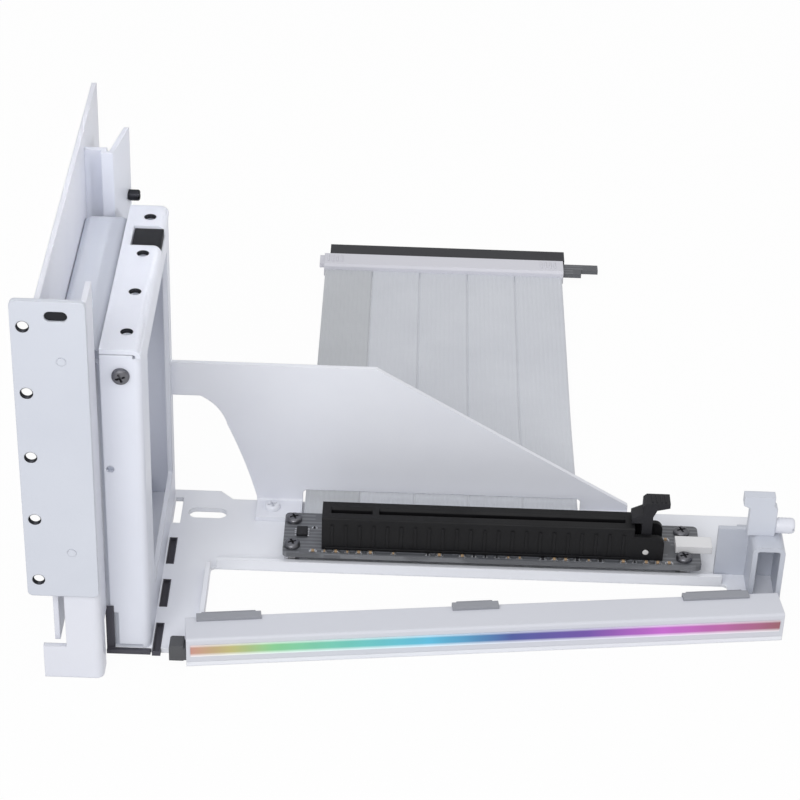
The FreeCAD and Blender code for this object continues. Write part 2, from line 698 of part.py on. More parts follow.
def bar_plug():
    """The black plug at the bar's left end."""
    start_x, start_y = bar_point(0, 0)
    left = start_x - PLUG_REACH
    near = start_y + PLUG_GAP
    body = block(left, start_x - PLUG_GAP, near, FRAME_NEAR - EPS, PLUG_BOTTOM, PLUG_TOP)
    nose = bar_block(-PLUG_GAP - EPS, 0, PLUG_GAP, PLUG_REACH, SHEET + EPS, PLUG_TOP - CLIP_WALL)
    return rounded(fused([body, nose]), PLUG_GAP, Y_AXIS, (left, PLUG_TOP))


def slot_base():
    return SHEET + STANDOFF_HEIGHT + BOARD_THICKNESS


def screw_grid():
    return [(x, y) for x in BOARD_SCREW_X for y in BOARD_SCREW_Y]


def board_standoffs():
    """Six-sided pillars under the riser board."""
    return Part.makeCompound([peg(V(x, y, SHEET), STANDOFF_RADIUS, STANDOFF_HEIGHT, Z_AXIS, SHANK_SIDES)
                              for x, y in screw_grid()])


def riser_board():
    base = SHEET + STANDOFF_HEIGHT
    board = block(BOARD_LEFT, BOARD_RIGHT, BOARD_NEAR, BOARD_FAR, base, slot_base())
    corners = [(x, y) for x in (BOARD_LEFT, BOARD_RIGHT) for y in (BOARD_NEAR, BOARD_FAR)]
    board = rounded(board, CORNER, Z_AXIS, *corners)
    return board.cut(board_screws())


def board_screws():
    return Part.makeCompound([pan_head(V(x, y, slot_base()), Z_AXIS, BOARD_THICKNESS) for x, y in screw_grid()])


def board_connector():
    """The pale socket at the board's right end, where the light bar's lead plugs in."""
    base = slot_base()
    left = BOARD_RIGHT - CONNECTOR_ON_BOARD
    shell = block(left, left + CONNECTOR_LENGTH, CONNECTOR_NEAR, CONNECTOR_NEAR + CONNECTOR_DEPTH,
                  base, base + CONNECTOR_HEIGHT)
    wall = CONNECTOR_WALL
    mouth = block(left + 2 * wall, left + CONNECTOR_LENGTH + 1, CONNECTOR_NEAR + wall,
                  CONNECTOR_NEAR + CONNECTOR_DEPTH - wall, base + wall, base + CONNECTOR_HEIGHT - wall)
    return shell.cut(mouth)


def slot_middle():
    return SLOT_NEAR + SLOT_DEPTH / 2


def slot_mouth_ends():
    left = SLOT_LEFT + SLOT_END_WALL
    return left, SLOT_LEFT + SLOT_LENGTH - SLOT_END_WALL


def slot_body():
    base = slot_base()
    top = base + SLOT_HEIGHT
    right = SLOT_LEFT + SLOT_LENGTH
    far = SLOT_NEAR + SLOT_DEPTH
    body = block(SLOT_LEFT, right, SLOT_NEAR, far, base, top)
    body = rounded(body, 0.6, X_AXIS, (SLOT_NEAR, top), (far, top))
    middle = slot_middle()
    left, mouth_right = slot_mouth_ends()
    half = SLOT_MOUTH / 2
    key = left + KEY_PLACE
    spans = ((left, key), (key + KEY_WIDTH, mouth_right))
    lead = 0.7
    for x0, x1 in spans:
        body = body.cut(block(x0, x1, middle - half, middle + half, base + SLOT_FLOOR, top + 1))
        profile = [V(x0, middle - half, top - lead), V(x0, middle - half - lead, top + EPS),
                   V(x0, middle + half + lead, top + EPS), V(x0, middle + half, top - lead)]
        wedge = Part.Face(Part.makePolygon(profile + [profile[0]])).extrude(V(x1 - x0, 0, 0))
        body = body.cut(wedge)
    groove = CONTACT_THICKNESS + 0.3
    for y0, y1 in ((middle - half - groove, middle - half), (middle + half, middle + half + groove)):
        for x0, x1 in spans:
            body = body.cut(block(x0, x1, y0, y1, base + SLOT_FLOOR, top - 2.2))
    end = right + LATCH_HOUSING
    cheek = (SLOT_DEPTH - LATCH_THICKNESS - 0.8) / 2
    cheek_top = base + SLOT_HEIGHT - 3
    cheeks = [block(right, end, y0, y1, base, cheek_top)
              for y0, y1 in ((SLOT_NEAR, SLOT_NEAR + cheek), (far - cheek, far))]
    body = fused([body] + cheeks)
    body = rounded(body, 2.5, Y_AXIS, (end, cheek_top))
    x, z = latch_pivot()
    return body.cut(rod((x, SLOT_NEAR - 1, z), LATCH_PIN_RADIUS, SLOT_DEPTH + 2, Y_AXIS))


def contact_comb(x0, x1, y0, y1, z0, z1, z_carrier):
    """A row of contacts that stand on one carrier strip."""
    count = int((x1 - x0 - CONTACT_WIDTH) / CONTACT_PITCH)
    points = [(x0, z0), (x0, z_carrier)]
    for i in range(count):
        start = x0 + (i + 0.5) * CONTACT_PITCH
        points += [(start, z_carrier), (start, z1), (start + CONTACT_WIDTH, z1), (start + CONTACT_WIDTH, z_carrier)]
    points += [(x1, z_carrier), (x1, z0)]
    return upright_outline(points, y0, y1)


def slot_contacts():
    base = slot_base() + SLOT_FLOOR + 0.2
    top = slot_base() + SLOT_HEIGHT - 2.6
    left, right = slot_mouth_ends()
    key = left + KEY_PLACE
    middle = slot_middle()
    offset = SLOT_MOUTH / 2 + 0.1
    rows = []
    for x0, x1 in ((left + 0.2, key - 0.2), (key + KEY_WIDTH + 0.2, right - 0.2)):
        for y0 in (middle - offset - CONTACT_THICKNESS, middle + offset):
            rows.append(contact_comb(x0, x1, y0, y0 + CONTACT_THICKNESS, base, top, base + 0.8))
    return Part.makeCompound(rows)


def latch_pivot():
    return SLOT_LEFT + SLOT_LENGTH + LATCH_PIVOT_IN, slot_base() + LATCH_PIVOT_UP


def card_latch():
    x, z = latch_pivot()
    y0 = slot_middle() - LATCH_THICKNESS / 2
    y1 = slot_middle() + LATCH_THICKNESS / 2
    top = slot_base() + LATCH_TOP
    hub = rod((x, y0, z), LATCH_HUB, LATCH_THICKNESS, Y_AXIS)
    half = LATCH_STEM / 2
    beak = x - half - LATCH_BEAK
    pad = x + PAD_REACH
    outline = [(x - half, z), (x - half, top - BEAK_BOTTOM), (beak, top - BEAK_BOTTOM), (beak, top - BEAK_TOP),
               (x - half, top - PAD_ROOT + 1), (x - half, top - 1), (x - half + 1, top), (pad, top),
               (pad, top - PAD_THICKNESS), (x + half + 1, top - PAD_THICKNESS - 1),
               (x + half, top - PAD_ROOT), (x + half, z)]
    stem = upright_outline(outline, y0, y1)
    shape = fused([hub, stem])
    bore = rod((x, y0 - 1, z), LATCH_PIN_RADIUS + LATCH_PIN_CLEARANCE, LATCH_THICKNESS + 2, Y_AXIS)
    return shape.cut(bore)


def latch_pin():
    x, z = latch_pivot()
    return rod((x, SLOT_NEAR, z), LATCH_PIN_RADIUS, SLOT_DEPTH, Y_AXIS)


def strand_middle(i):
    return RIBBON_MIDDLE + (i - (STRAND_COUNT - 1) / 2) * STRAND_PITCH


def ribbon_half():
    return ((STRAND_COUNT - 1) * STRAND_PITCH + STRAND_WIDTH) / 2


def cable_clamp():
    """The bar under the riser board that holds the ribbon's ends."""
    top = SHEET + STANDOFF_HEIGHT
    half = ribbon_half() + 0.4
    shape = block(RIBBON_MIDDLE - half, RIBBON_MIDDLE + half, CLAMP_NEAR, CLAMP_FAR, top - CLAMP_HEIGHT, top)
    return shape.makeChamfer(CLAMP_CHAMFER, edges_through(shape, X_AXIS, (CLAMP_NEAR, top - CLAMP_HEIGHT)))


def route_path():
    """Straight runs joined by tangent arcs, through the ribbon's route in Y and Z."""
    points = [V(0, y, z) for y, z in RIBBON_ROUTE]
    edges = []
    start = points[0]
    for before, corner, after in zip(points, points[1:], points[2:]):
        run_in = corner - before
        run_out = after - corner
        turn = run_in.getAngle(run_out)
        cut = 0.45 * min(run_in.Length, run_out.Length)
        radius = cut / math.tan(turn / 2)
        enter = corner - V(run_in).normalize() * cut
        leave = corner + V(run_out).normalize() * cut
        inward = (V(run_out).normalize() - V(run_in).normalize()).normalize()
        centre = corner + inward * (radius / math.cos(turn / 2))
        middle = centre - inward * radius
        edges.append(Part.LineSegment(start, enter).toShape())
        edges.append(Part.Arc(enter, middle, leave).toShape())
        print("ribbon bend radius", round(radius, 1))
        start = leave
    edges.append(Part.LineSegment(start, points[-1]).toShape())
    return Part.Wire(edges)


def ribbon_strand(i):
    """One flat strand, whose section follows the route."""
    path = route_path()
    first = path.Edges[0]
    along = first.tangentAt(first.FirstParameter)
    up = X_AXIS.cross(along)
    start = V(0, *RIBBON_ROUTE[0])
    half = STRAND_THICKNESS / 2
    side = X_AXIS * (STRAND_WIDTH / 2)
    corners = [start - side - up * half, start + side - up * half, start + side + up * half, start - side + up * half]
    section = Part.makePolygon(corners + [corners[0]])
    strand = path.makePipeShell([section], True, False)
    if i == 0:
        expected = STRAND_WIDTH * STRAND_THICKNESS * path.Length
        print("ribbon length", round(path.Length, 2), "volume share", round(strand.Volume / expected, 4))
    return strand.translated(V(strand_middle(i), 0, 0))


def plug_middle():
    return RIBBON_ROUTE[-1][1]


def plug_board():
    """The plug's board, with its edge connector, key notch and retaining hook."""
    half = ribbon_half()
    left = RIBBON_MIDDLE - half
    right = RIBBON_MIDDLE + half
    root = PLUG_NEAR + PLUG_DEPTH
    tip = root + FINGER_LENGTH
    bottom = plug_middle() - BOARD_THICKNESS / 2
    top = bottom + BOARD_THICKNESS
    body = block(left, right + 0.5, PLUG_NEAR + 2, root, bottom, top)
    edge = block(left + FINGER_INSET, right, root - EPS, tip, bottom, top)
    edge = rounded(edge, 0.8, Z_AXIS, (left + FINGER_INSET, tip), (right, tip))
    key = right - FINGER_KEY
    notch = block(key - KEY_WIDTH, key, root + 2, tip + 1, bottom - 1, top + 1)
    hook_near = root - HOOK_DEPTH
    stem = right + HOOK_STEM
    hook = [(right, hook_near - HOOK_DROP), (stem, hook_near - HOOK_DROP), (stem, hook_near),
            (right + HOOK_REACH, hook_near), (right + HOOK_REACH, root), (right, root)]
    return fused([body, edge, flat_outline(hook, bottom, top)]).cut(notch)


def finger_comb(x0, x1, y0, y1, z0, z1):
    """Gold contacts joined by one thin strip at their root."""
    count = int((x1 - x0) / CONTACT_PITCH)
    carrier = y0 + 0.6
    points = [(x0, y0), (x0, carrier)]
    for i in range(count):
        start = x0 + (i + 0.25) * CONTACT_PITCH
        points += [(start, carrier), (start, y1), (start + CONTACT_WIDTH, y1), (start + CONTACT_WIDTH, carrier)]
    points += [(x1, carrier), (x1, y0)]
    return flat_outline(points, z0, z1)


def plug_fingers():
    half = ribbon_half()
    left = RIBBON_MIDDLE - half + FINGER_INSET + 1
    right = RIBBON_MIDDLE + half - 1
    key = RIBBON_MIDDLE + half - FINGER_KEY
    root = PLUG_NEAR + PLUG_DEPTH + FINGER_MARGIN
    tip = PLUG_NEAR + PLUG_DEPTH + FINGER_LENGTH - FINGER_MARGIN
    thickness = 0.08
    bottom = plug_middle() - BOARD_THICKNESS / 2
    combs = []
    for x0, x1 in ((left, key - KEY_WIDTH - 0.6), (key + 0.6, right)):
        for z0 in (bottom - thickness, bottom + BOARD_THICKNESS):
            combs.append(finger_comb(x0, x1, root, tip, z0, z0 + thickness))
    return Part.makeCompound(combs)


def plug_shell(lower):
    """Half of the plug's cover, hollowed for the board."""
    half = ribbon_half() + PLUG_SIDE
    middle = plug_middle()
    z0, z1 = (middle - PLUG_HEIGHT / 2, middle) if lower else (middle, middle + PLUG_HEIGHT / 2)
    left = RIBBON_MIDDLE - half
    far = PLUG_NEAR + PLUG_DEPTH
    shape = block(left, RIBBON_MIDDLE + half, PLUG_NEAR, far, z0, z1)
    rim = z0 if lower else z1
    edges = edges_through(shape, X_AXIS, (PLUG_NEAR, rim)) + edges_through(shape, X_AXIS, (far, rim))
    shape = shape.makeChamfer(PLUG_CHAMFER, edges)
    if not lower:
        ear = block(left - PLUG_EAR, left, far - PLUG_EAR_DEPTH, far - 1, z0, z1 - PLUG_CHAMFER)
        shape = fused([shape, ear])
    return shape.cut(plug_board())


def finger_cap():
    """The sleeve that covers the plug's contacts until it is plugged in."""
    half = ribbon_half()
    left = RIBBON_MIDDLE - half + FINGER_INSET - CAP_WALL - CAP_GAP
    right = RIBBON_MIDDLE + half + CAP_WALL + CAP_GAP
    near = PLUG_NEAR + PLUG_DEPTH + CAP_START
    far = PLUG_NEAR + PLUG_DEPTH + FINGER_LENGTH + CAP_WALL
    middle = plug_middle()
    reach = BOARD_THICKNESS / 2 + CAP_GAP
    sleeve = block(left, right, near, far, middle - reach - CAP_WALL, middle + reach + CAP_WALL)
    hollow = block(left + CAP_WALL, right - CAP_WALL, near - 1, far - CAP_WALL, middle - reach, middle + reach)
    return sleeve.cut(hollow)


def end_bracket():
    """A box open to the front, with a foot on the base frame and a wing at its left."""
    base = SHEET
    shell = folded([(END_LEFT, base), (END_LEFT, END_TOP), (END_RIGHT, END_TOP), (END_RIGHT, base)][::-1],
                   Y_AXIS, END_NEAR, END_FAR)
    back = block(END_LEFT + EPS, END_RIGHT - EPS, END_FAR - SHEET, END_FAR, base, END_TOP - BEND)
    wing = block(END_LEFT - WING_WIDTH, END_LEFT + SHEET, END_FAR - SHEET, END_FAR, base, WING_TOP)
    foot = block(END_LEFT, END_RIGHT - TRAY_EDGE, END_FAR - EPS, TRAY_FAR - 6, base, base + SHEET)
    return fused([shell, back, wing, foot])


def end_screws():
    x = (END_LEFT + END_RIGHT - TRAY_EDGE) / 2
    return Part.makeCompound([pan_head(V(x, y, 2 * SHEET), Z_AXIS, 2 * SHEET) for y in END_SCREW_Y])


def support_post():
    """An upright tab with a flared top, which the card's far end rests against."""
    right = SUPPORT_LEFT + SUPPORT_WIDTH
    neck = END_TOP + FLARE_START
    outline = [(SUPPORT_LEFT, END_TOP), (SUPPORT_LEFT, neck), (SUPPORT_LEFT - FLARE_REACH, neck + 1),
               (SUPPORT_LEFT - FLARE_REACH, SUPPORT_TOP), (right - 1, SUPPORT_TOP), (right - 1, neck + 1),
               (right, neck), (right, END_TOP)]
    return upright_outline(outline, SUPPORT_NEAR, SUPPORT_NEAR + SUPPORT_THICKNESS)


def support_screw():
    seat = V(SUPPORT_LEFT + SUPPORT_WIDTH, SUPPORT_NEAR + SUPPORT_THICKNESS / 2, END_TOP + SUPPORT_SCREW_UP)
    return thumb_screw(seat, X_AXIS, SUPPORT_WIDTH / 2, PEG_RADIUS, PEG_LENGTH)


PARTS = {
    "card_frame": lambda: card_frame().cut(frame_screw()),
    "carriage": lambda: carriage().cut(frame_screw()).cut(carriage_rivets()),
    "carriage_rivets": carriage_rivets,
    "frame_screw": frame_screw,
    "rear_plate": lambda: rear_plate().cut(lip_rivets()).cut(carriage_rivets()),
    "screw_lip": lambda: screw_lip().cut(lip_rivets()),
    "lip_rivets": lip_rivets,
    "lip_slot_liner": lip_slot_liner,
    "far_post": lambda: far_post().cut(frame_thumb_screw()),
    "frame_thumb_screw": frame_thumb_screw,
    "base_frame": lambda: base_frame().cut(brace_screws()).cut(end_screws()),
    "slot_linings": slot_linings,
    "back_brace": lambda: back_brace().cut(brace_screws()),
    "brace_screws": brace_screws,
    "light_bar_housing": light_bar_housing,
    "light_diffuser": light_diffuser,
    "led_board": led_board,
    "led_row": led_row,
    "bar_clips": bar_clips,
    "bar_plug": bar_plug,
    "board_standoffs": board_standoffs,
    "riser_board": riser_board,
    "board_screws": board_screws,
    "board_connector": board_connector,
    "slot_body": slot_body,
    "slot_contacts": slot_contacts,
    "card_latch": card_latch,
    "latch_pin": latch_pin,
    "cable_clamp": cable_clamp,
    "plug_board": plug_board,
    "plug_fingers": plug_fingers,
    "finger_cap": finger_cap,
    "plug_cover_upper": lambda: plug_shell(False),
    "plug_cover_lower": lambda: plug_shell(True),
    "end_bracket": lambda: end_bracket().cut(end_screws()),
    "end_screws": end_screws,
    "support_post": lambda: support_post().cut(support_screw()),
    "support_screw": support_screw,
}
for number in range(STRAND_COUNT):
    PARTS[f"ribbon_strand_{number + 1}"] = lambda number=number: ribbon_strand(number)

os.makedirs("parts", exist_ok=True)
for name, make in PARTS.items():
    shape = make()
    if not shape.isValid():
        print("not valid:", name)
    shape.exportStep(f"parts/{name}.step")
    box = shape.BoundBox
    print(f"{name:20s} solids {len(shape.Solids):3d} volume {shape.Volume:9.1f}"
          f"  X {box.XMin:7.2f} {box.XMax:7.2f}  Y {box.YMin:7.2f} {box.YMax:7.2f}  Z {box.ZMin:7.2f} {box.ZMax:7.2f}")
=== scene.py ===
import math
import random

import bmesh
import bpy
from mathutils import Matrix, Vector


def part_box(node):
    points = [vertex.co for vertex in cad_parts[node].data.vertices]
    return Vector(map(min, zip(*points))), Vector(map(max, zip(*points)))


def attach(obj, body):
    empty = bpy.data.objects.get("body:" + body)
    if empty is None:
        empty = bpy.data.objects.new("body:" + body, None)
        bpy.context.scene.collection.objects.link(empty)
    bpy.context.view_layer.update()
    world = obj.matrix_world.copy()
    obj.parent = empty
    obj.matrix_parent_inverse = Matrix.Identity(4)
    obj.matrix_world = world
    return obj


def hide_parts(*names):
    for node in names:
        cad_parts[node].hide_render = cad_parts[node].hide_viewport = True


# The looks of a vertical graphics-card mount: a folded card frame and rear plate in pale powder-coated
# steel, a riser board with a black card slot, a flat riser cable and a slanted light bar.

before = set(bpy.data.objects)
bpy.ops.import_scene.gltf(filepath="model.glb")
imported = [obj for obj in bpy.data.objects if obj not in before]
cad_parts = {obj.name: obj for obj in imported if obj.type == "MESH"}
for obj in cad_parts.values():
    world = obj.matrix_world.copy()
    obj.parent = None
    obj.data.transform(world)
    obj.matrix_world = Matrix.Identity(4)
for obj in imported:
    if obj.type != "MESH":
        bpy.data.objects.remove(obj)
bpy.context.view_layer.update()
MM = 0.001

# Camera, as the photograph was taken
CAMERA_PLACE = Vector((68.2, -582.9, 458.6)) * MM
CAMERA_PITCH = math.radians(34.0)
CAMERA_ROLL = math.radians(2.0)
CAMERA_LENS = 112.5
SENSOR_WIDTH = 36.0

# Riser cable: the route of its middle line in Y and Z, and its flat strands
RIBBON_ROUTE = ((25.0, 4.2), (50.0, 4.2), (88.0, 1.2), (130.0, 2.7), (173.0, 2.7))
RIBBON_MIDDLE = 82.0
STRAND_COUNT = 5
STRAND_PITCH = 16.7
SHEATH_WIDTH = 16.66
STRAND_THICKNESS = 1.2
STRAND_RIBS = 11
STRAND_RIB_DEPTH = 0.13
STRAND_RIB_STEPS = 6
STRAND_EDGE_POWER = 24

# Rows of screw holes in the lip and in the card frame's top: pitch, radius, first hole's place and count
HOLE_PITCH = 20.32
HOLE_RADIUS = 1.75
LIP_HOLE = (-28.2, -49.0, 35.5)
LIP_HOLE_COUNT = 5
FRAME_HOLE = (-4.6, -26.48, 102.0)
FRAME_HOLE_COUNT = 4

# Light bar's colours from its left end to its right end, as shares of its length
GLOW = (
    (0.00, (180, 130, 120)), (0.07, (170, 164, 108)), (0.14, (120, 184, 132)), (0.27, (96, 178, 168)),
    (0.40, (80, 168, 198)), (0.54, (62, 76, 140)), (0.67, (98, 68, 148)), (0.80, (178, 92, 184)),
    (0.90, (166, 88, 148)), (1.00, (138, 84, 92)),
)
GLOW_STRENGTH = 0.24
GLOW_CORE = 0.42
GLOW_PALE = (238, 242, 246)
LIGHT_COUNT = 18

X_AXIS = Vector((1, 0, 0))
Y_AXIS = Vector((0, 1, 0))
Z_AXIS = Vector((0, 0, 1))


def tone(red, green, blue):
    """A colour given as it looks on a screen, from 0 to 255, in the shader's own scale."""
    def level(value):
        share = value / 255
        return share / 12.92 if share <= 0.04045 else ((share + 0.055) / 1.055) ** 2.4
    return (level(red), level(green), level(blue), 1.0)


# Shader groups that several finishes share


# Sockets of a colour mix node
MIX_FIRST = 6
MIX_SECOND = 7
MIX_RESULT = 2


class Graph:
    """Adds nodes to one node tree and joins them."""

    def __init__(self, tree):
        self.tree = tree

    def add(self, kind, values=None, **settings):
        """A new node with its settings made and its inputs filled."""
        node = self.tree.nodes.new(kind)
        for name, value in settings.items():
            setattr(node, name, value)
        for socket, value in (values or {}).items():
            self.put(node.inputs[socket], value)
        return node

    def put(self, socket, value):
        """Joins an output to an input, or sets the input's value."""
        if isinstance(value, bpy.types.NodeSocket):
            self.tree.links.new(value, socket)
        else:
            socket.default_value = value

    def use(self, group, **values):
        """The outputs of a shared group with these inputs."""
        node = self.tree.nodes.new("ShaderNodeGroup")
        node.node_tree = group
        for name, value in values.items():
            self.put(node.inputs[name.replace("_", " ")], value)
        return node.outputs

    def math(self, operation, first, second=0.0, clamp=False):
        node = self.add("ShaderNodeMath", {0: first, 1: second}, operation=operation, use_clamp=clamp)
        return node.outputs[0]

    def times(self, first, second):
        return self.math("MULTIPLY", first, second)

    def blend(self, share, first, second):
        """A colour between two others, by a share from 0 to 1."""
        node = self.add("ShaderNodeMix", data_type="RGBA")
        self.put(node.inputs["Factor"], share)
        self.put(node.inputs[MIX_FIRST], first)
        self.put(node.inputs[MIX_SECOND], second)
        return node.outputs[MIX_RESULT]

    def scale(self, value, low, high, to_low, to_high):
        """A value moved from one range to another."""
        return self.add("ShaderNodeMapRange", {"Value": value, "From Min": low, "From Max": high,
                                               "To Min": to_low, "To Max": to_high}).outputs[0]

    def place(self, stretch=(1.0, 1.0, 1.0)):
        """The place on the piece, in metres, stretched if asked."""
        where = self.add("ShaderNodeTexCoord").outputs["Object"]
        return self.add("ShaderNodeMapping", {"Vector": where, "Scale": stretch}).outputs[0]


def new_group(name, inputs, outputs):
    """An empty shader group. Inputs are names with their usual values; outputs are names."""
    tree = bpy.data.node_groups.new(name, "ShaderNodeTree")
    for socket, value in inputs.items():
        made = tree.interface.new_socket(socket, in_out="INPUT", socket_type="NodeSocketFloat")
        made.default_value = value
    for socket, kind in outputs.items():
        tree.interface.new_socket(socket, in_out="OUTPUT", socket_type=kind)
    graph = Graph(tree)
    return tree, graph, tree.nodes.new("NodeGroupInput").outputs, tree.nodes.new("NodeGroupOutput").inputs


def grain_group():
    """Fine bumps of a sprayed or moulded skin: broad ones with small ones on them."""
    tree, graph, given, out = new_group("skin grain", {"Scale": 1500.0, "Fine share": 0.4},
                                        {"Height": "NodeSocketFloat"})
    where = graph.place()
    broad = graph.add("ShaderNodeTexNoise", {"Vector": where, "Scale": given["Scale"],
                                             "Detail": 2.0}).outputs[0]
    finer_scale = graph.times(given["Scale"], 3.1)
    fine = graph.add("ShaderNodeTexNoise", {"Vector": where, "Scale": finer_scale,
                                            "Detail": 1.0}).outputs[0]
    weighed = graph.times(fine, given["Fine share"])
    graph.put(out["Height"], graph.math("ADD", broad, weighed))
    return tree


def edge_group():
    """Where an outside or inside edge runs close by, and the softened normal there."""
    tree, graph, given, out = new_group("soft edges", {"Radius": 0.0005, "Contrast": 3.0},
                                        {"Mask": "NodeSocketFloat", "Normal": "NodeSocketVector"})
    bevel = graph.add("ShaderNodeBevel", {"Radius": given["Radius"]}, samples=4).outputs[0]
    flat = graph.add("ShaderNodeNewGeometry").outputs["Normal"]
    same = graph.add("ShaderNodeVectorMath", {0: bevel, 1: flat}, operation="DOT_PRODUCT").outputs["Value"]
    apart = graph.math("SUBTRACT", 1.0, same)
    graph.put(out["Mask"], graph.math("MULTIPLY", apart, given["Contrast"], clamp=True))
    graph.put(out["Normal"], bevel)
    return tree


def handling_group():
    """Broad soft patches left by coating and handling, and a few fine specks of dust."""
    tree, graph, given, out = new_group("handling", {"Scale": 24.0, "Speck scale": 900.0},
                                        {"Patch": "NodeSocketFloat", "Speck": "NodeSocketFloat"})
    where = graph.place()
    broad = graph.add("ShaderNodeTexNoise", {"Vector": where, "Scale": given["Scale"], "Detail": 4.0,
                                             "Roughness": 0.6}).outputs[0]
    graph.put(out["Patch"], graph.scale(broad, 0.3, 0.7, 0.0, 1.0))
    cells = graph.add("ShaderNodeTexVoronoi", {"Vector": where, "Scale": given["Speck scale"]})
    graph.put(out["Speck"], graph.scale(cells.outputs["Distance"], 0.05, 0.16, 1.0, 0.0))
    return tree


def streak_group():
    """Fine streaks across X, as turned or drawn metal has."""
    tree, graph, given, out = new_group("drawn streaks", {"Scale": 600.0}, {"Streak": "NodeSocketFloat"})
    where = graph.place((0.08, 1.0, 1.0))
    graph.put(out["Streak"], graph.add("ShaderNodeTexNoise", {"Vector": where, "Scale": given["Scale"],
                                                              "Detail": 3.0}).outputs[0])
    return tree


GRAIN = grain_group()
EDGES = edge_group()
HANDLING = handling_group()
STREAKS = streak_group()


# Finishes


def new_finish(name):
    """An empty material with its shader joined to the output."""
    material = bpy.data.materials.new(name)
    material.use_nodes = True
    tree = material.node_tree
    tree.nodes.clear()
    graph = Graph(tree)
    shader = graph.add("ShaderNodeBsdfPrincipled")
    output = graph.add("ShaderNodeOutputMaterial")
    graph.put(output.inputs["Surface"], shader.outputs[0])
    return material, graph, shader


def bump(graph, shader, height, distance, strength=1.0, normal=None):
    """Raises the skin by a height pattern, on top of a softened normal if one is given."""
    node = graph.add("ShaderNodeBump", {"Height": height, "Distance": distance, "Strength": strength})
    if normal is not None:
        graph.put(node.inputs["Normal"], normal)
    graph.put(shader.inputs["Normal"], node.outputs[0])


def powder_coat(name, light, shade, edge, roughness):
    """Satin powder coat on folded steel: orange peel, broad patches and paler edges, which are painted
    highlight along the edges with some wear.
    """
    material, graph, shader = new_finish(name)
    handling = graph.use(HANDLING, Scale=22.0, Speck_scale=700.0)
    edges = graph.use(EDGES, Radius=0.45 * MM, Contrast=2.4)
    grain = graph.use(GRAIN, Scale=1250.0, Fine_share=0.5)
    patched = graph.blend(graph.times(handling["Patch"], 0.7), light, shade)
    # Paler edges: painted highlight along the edges, with some wear.
    wear_and_edge_highlight = graph.blend(graph.times(edges["Mask"], 0.55), patched, edge)
    graph.put(shader.inputs["Base Color"], wear_and_edge_highlight)
    rough = graph.scale(handling["Patch"], 0.0, 1.0, roughness - 0.05, roughness + 0.07)
    rubbed = graph.times(edges["Mask"], 0.1)
    graph.put(shader.inputs["Roughness"], graph.math("SUBTRACT", rough, rubbed))
    shader.inputs["Coat Weight"].default_value = 0.12
    shader.inputs["Coat Roughness"].default_value = 0.35
    bump(graph, shader, grain["Height"], 0.035 * MM, 0.55, edges["Normal"])
    return material


def moulded_plastic(name, colour, edge, roughness, scale=2200.0, depth=0.03):
    """Moulded plastic with a spark-eroded skin and paler edges, partly rubbing wear and partly painted
    highlight.
    """
    material, graph, shader = new_finish(name)
    handling = graph.use(HANDLING, Scale=60.0, Speck_scale=1400.0)
    edges = graph.use(EDGES, Radius=0.3 * MM, Contrast=3.0)
    grain = graph.use(GRAIN, Scale=scale, Fine_share=0.6)
    # Paler edges: rubbing wear and painted highlight along the edges.
    wear_and_edge_highlight = graph.blend(graph.times(edges["Mask"], 0.5), colour, edge)
    dusted = graph.blend(graph.times(handling["Speck"], 0.12), wear_and_edge_highlight, edge)
    graph.put(shader.inputs["Base Color"], dusted)
    shader.inputs["Specular IOR Level"].default_value = 0.3
    rough = graph.scale(handling["Patch"], 0.0, 1.0, roughness - 0.06, roughness + 0.08)
    graph.put(shader.inputs["Roughness"], rough)
    bump(graph, shader, grain["Height"], depth * MM, 0.7, edges["Normal"])
    return material


def plated_metal(name, colour, shade, roughness):
    """Nickel, tin or gold plating with fine turning marks."""
    material, graph, shader = new_finish(name)
    handling = graph.use(HANDLING, Scale=180.0, Speck_scale=2500.0)
    edges = graph.use(EDGES, Radius=0.15 * MM, Contrast=2.0)
    streaks = graph.use(STREAKS, Scale=2600.0)
    patched = graph.blend(graph.times(handling["Patch"], 0.6), colour, shade)
    graph.put(shader.inputs["Base Color"], patched)
    shader.inputs["Metallic"].default_value = 1.0
    rough = graph.scale(streaks["Streak"], 0.2, 0.8, roughness - 0.08, roughness + 0.12)
    graph.put(shader.inputs["Roughness"], rough)
    bump(graph, shader, streaks["Streak"], 0.01 * MM, 0.5, edges["Normal"])
    return material


def circuit_laminate(name, mask_colour, track_colour):
    """Dark solder resist over copper tracks, which stand proud as fine parallel lines."""
    material, graph, shader = new_finish(name)
    where = graph.place()
    bend = graph.add("ShaderNodeTexNoise", {"Vector": where, "Scale": 40.0}).outputs["Color"]
    reach = (1.2 * MM, 1.2 * MM, 0.0)
    moved = graph.add("ShaderNodeVectorMath", {0: bend, 1: reach}, operation="MULTIPLY").outputs[0]
    place = graph.add("ShaderNodeVectorMath", {0: where, 1: moved}, operation="ADD").outputs[0]
    lines = graph.add("ShaderNodeTexWave", {"Vector": place, "Scale": 190.0, "Distortion": 0.0},
                      bands_direction="Y")
    tracks = graph.scale(lines.outputs["Fac"], 0.62, 0.72, 0.0, 1.0)
    blocks = graph.add("ShaderNodeTexVoronoi", {"Vector": where, "Scale": 130.0}, distance="CHEBYCHEV")
    zone = graph.scale(blocks.outputs["Distance"], 0.3, 0.34, 0.0, 1.0)
    drawn = graph.times(tracks, zone)
    coloured = graph.blend(graph.times(drawn, 0.8), mask_colour, track_colour)
    graph.put(shader.inputs["Base Color"], coloured)
    shader.inputs["Roughness"].default_value = 0.38
    shader.inputs["Coat Weight"].default_value = 0.2
    bump(graph, shader, drawn, 0.03 * MM, 0.8)
    return material


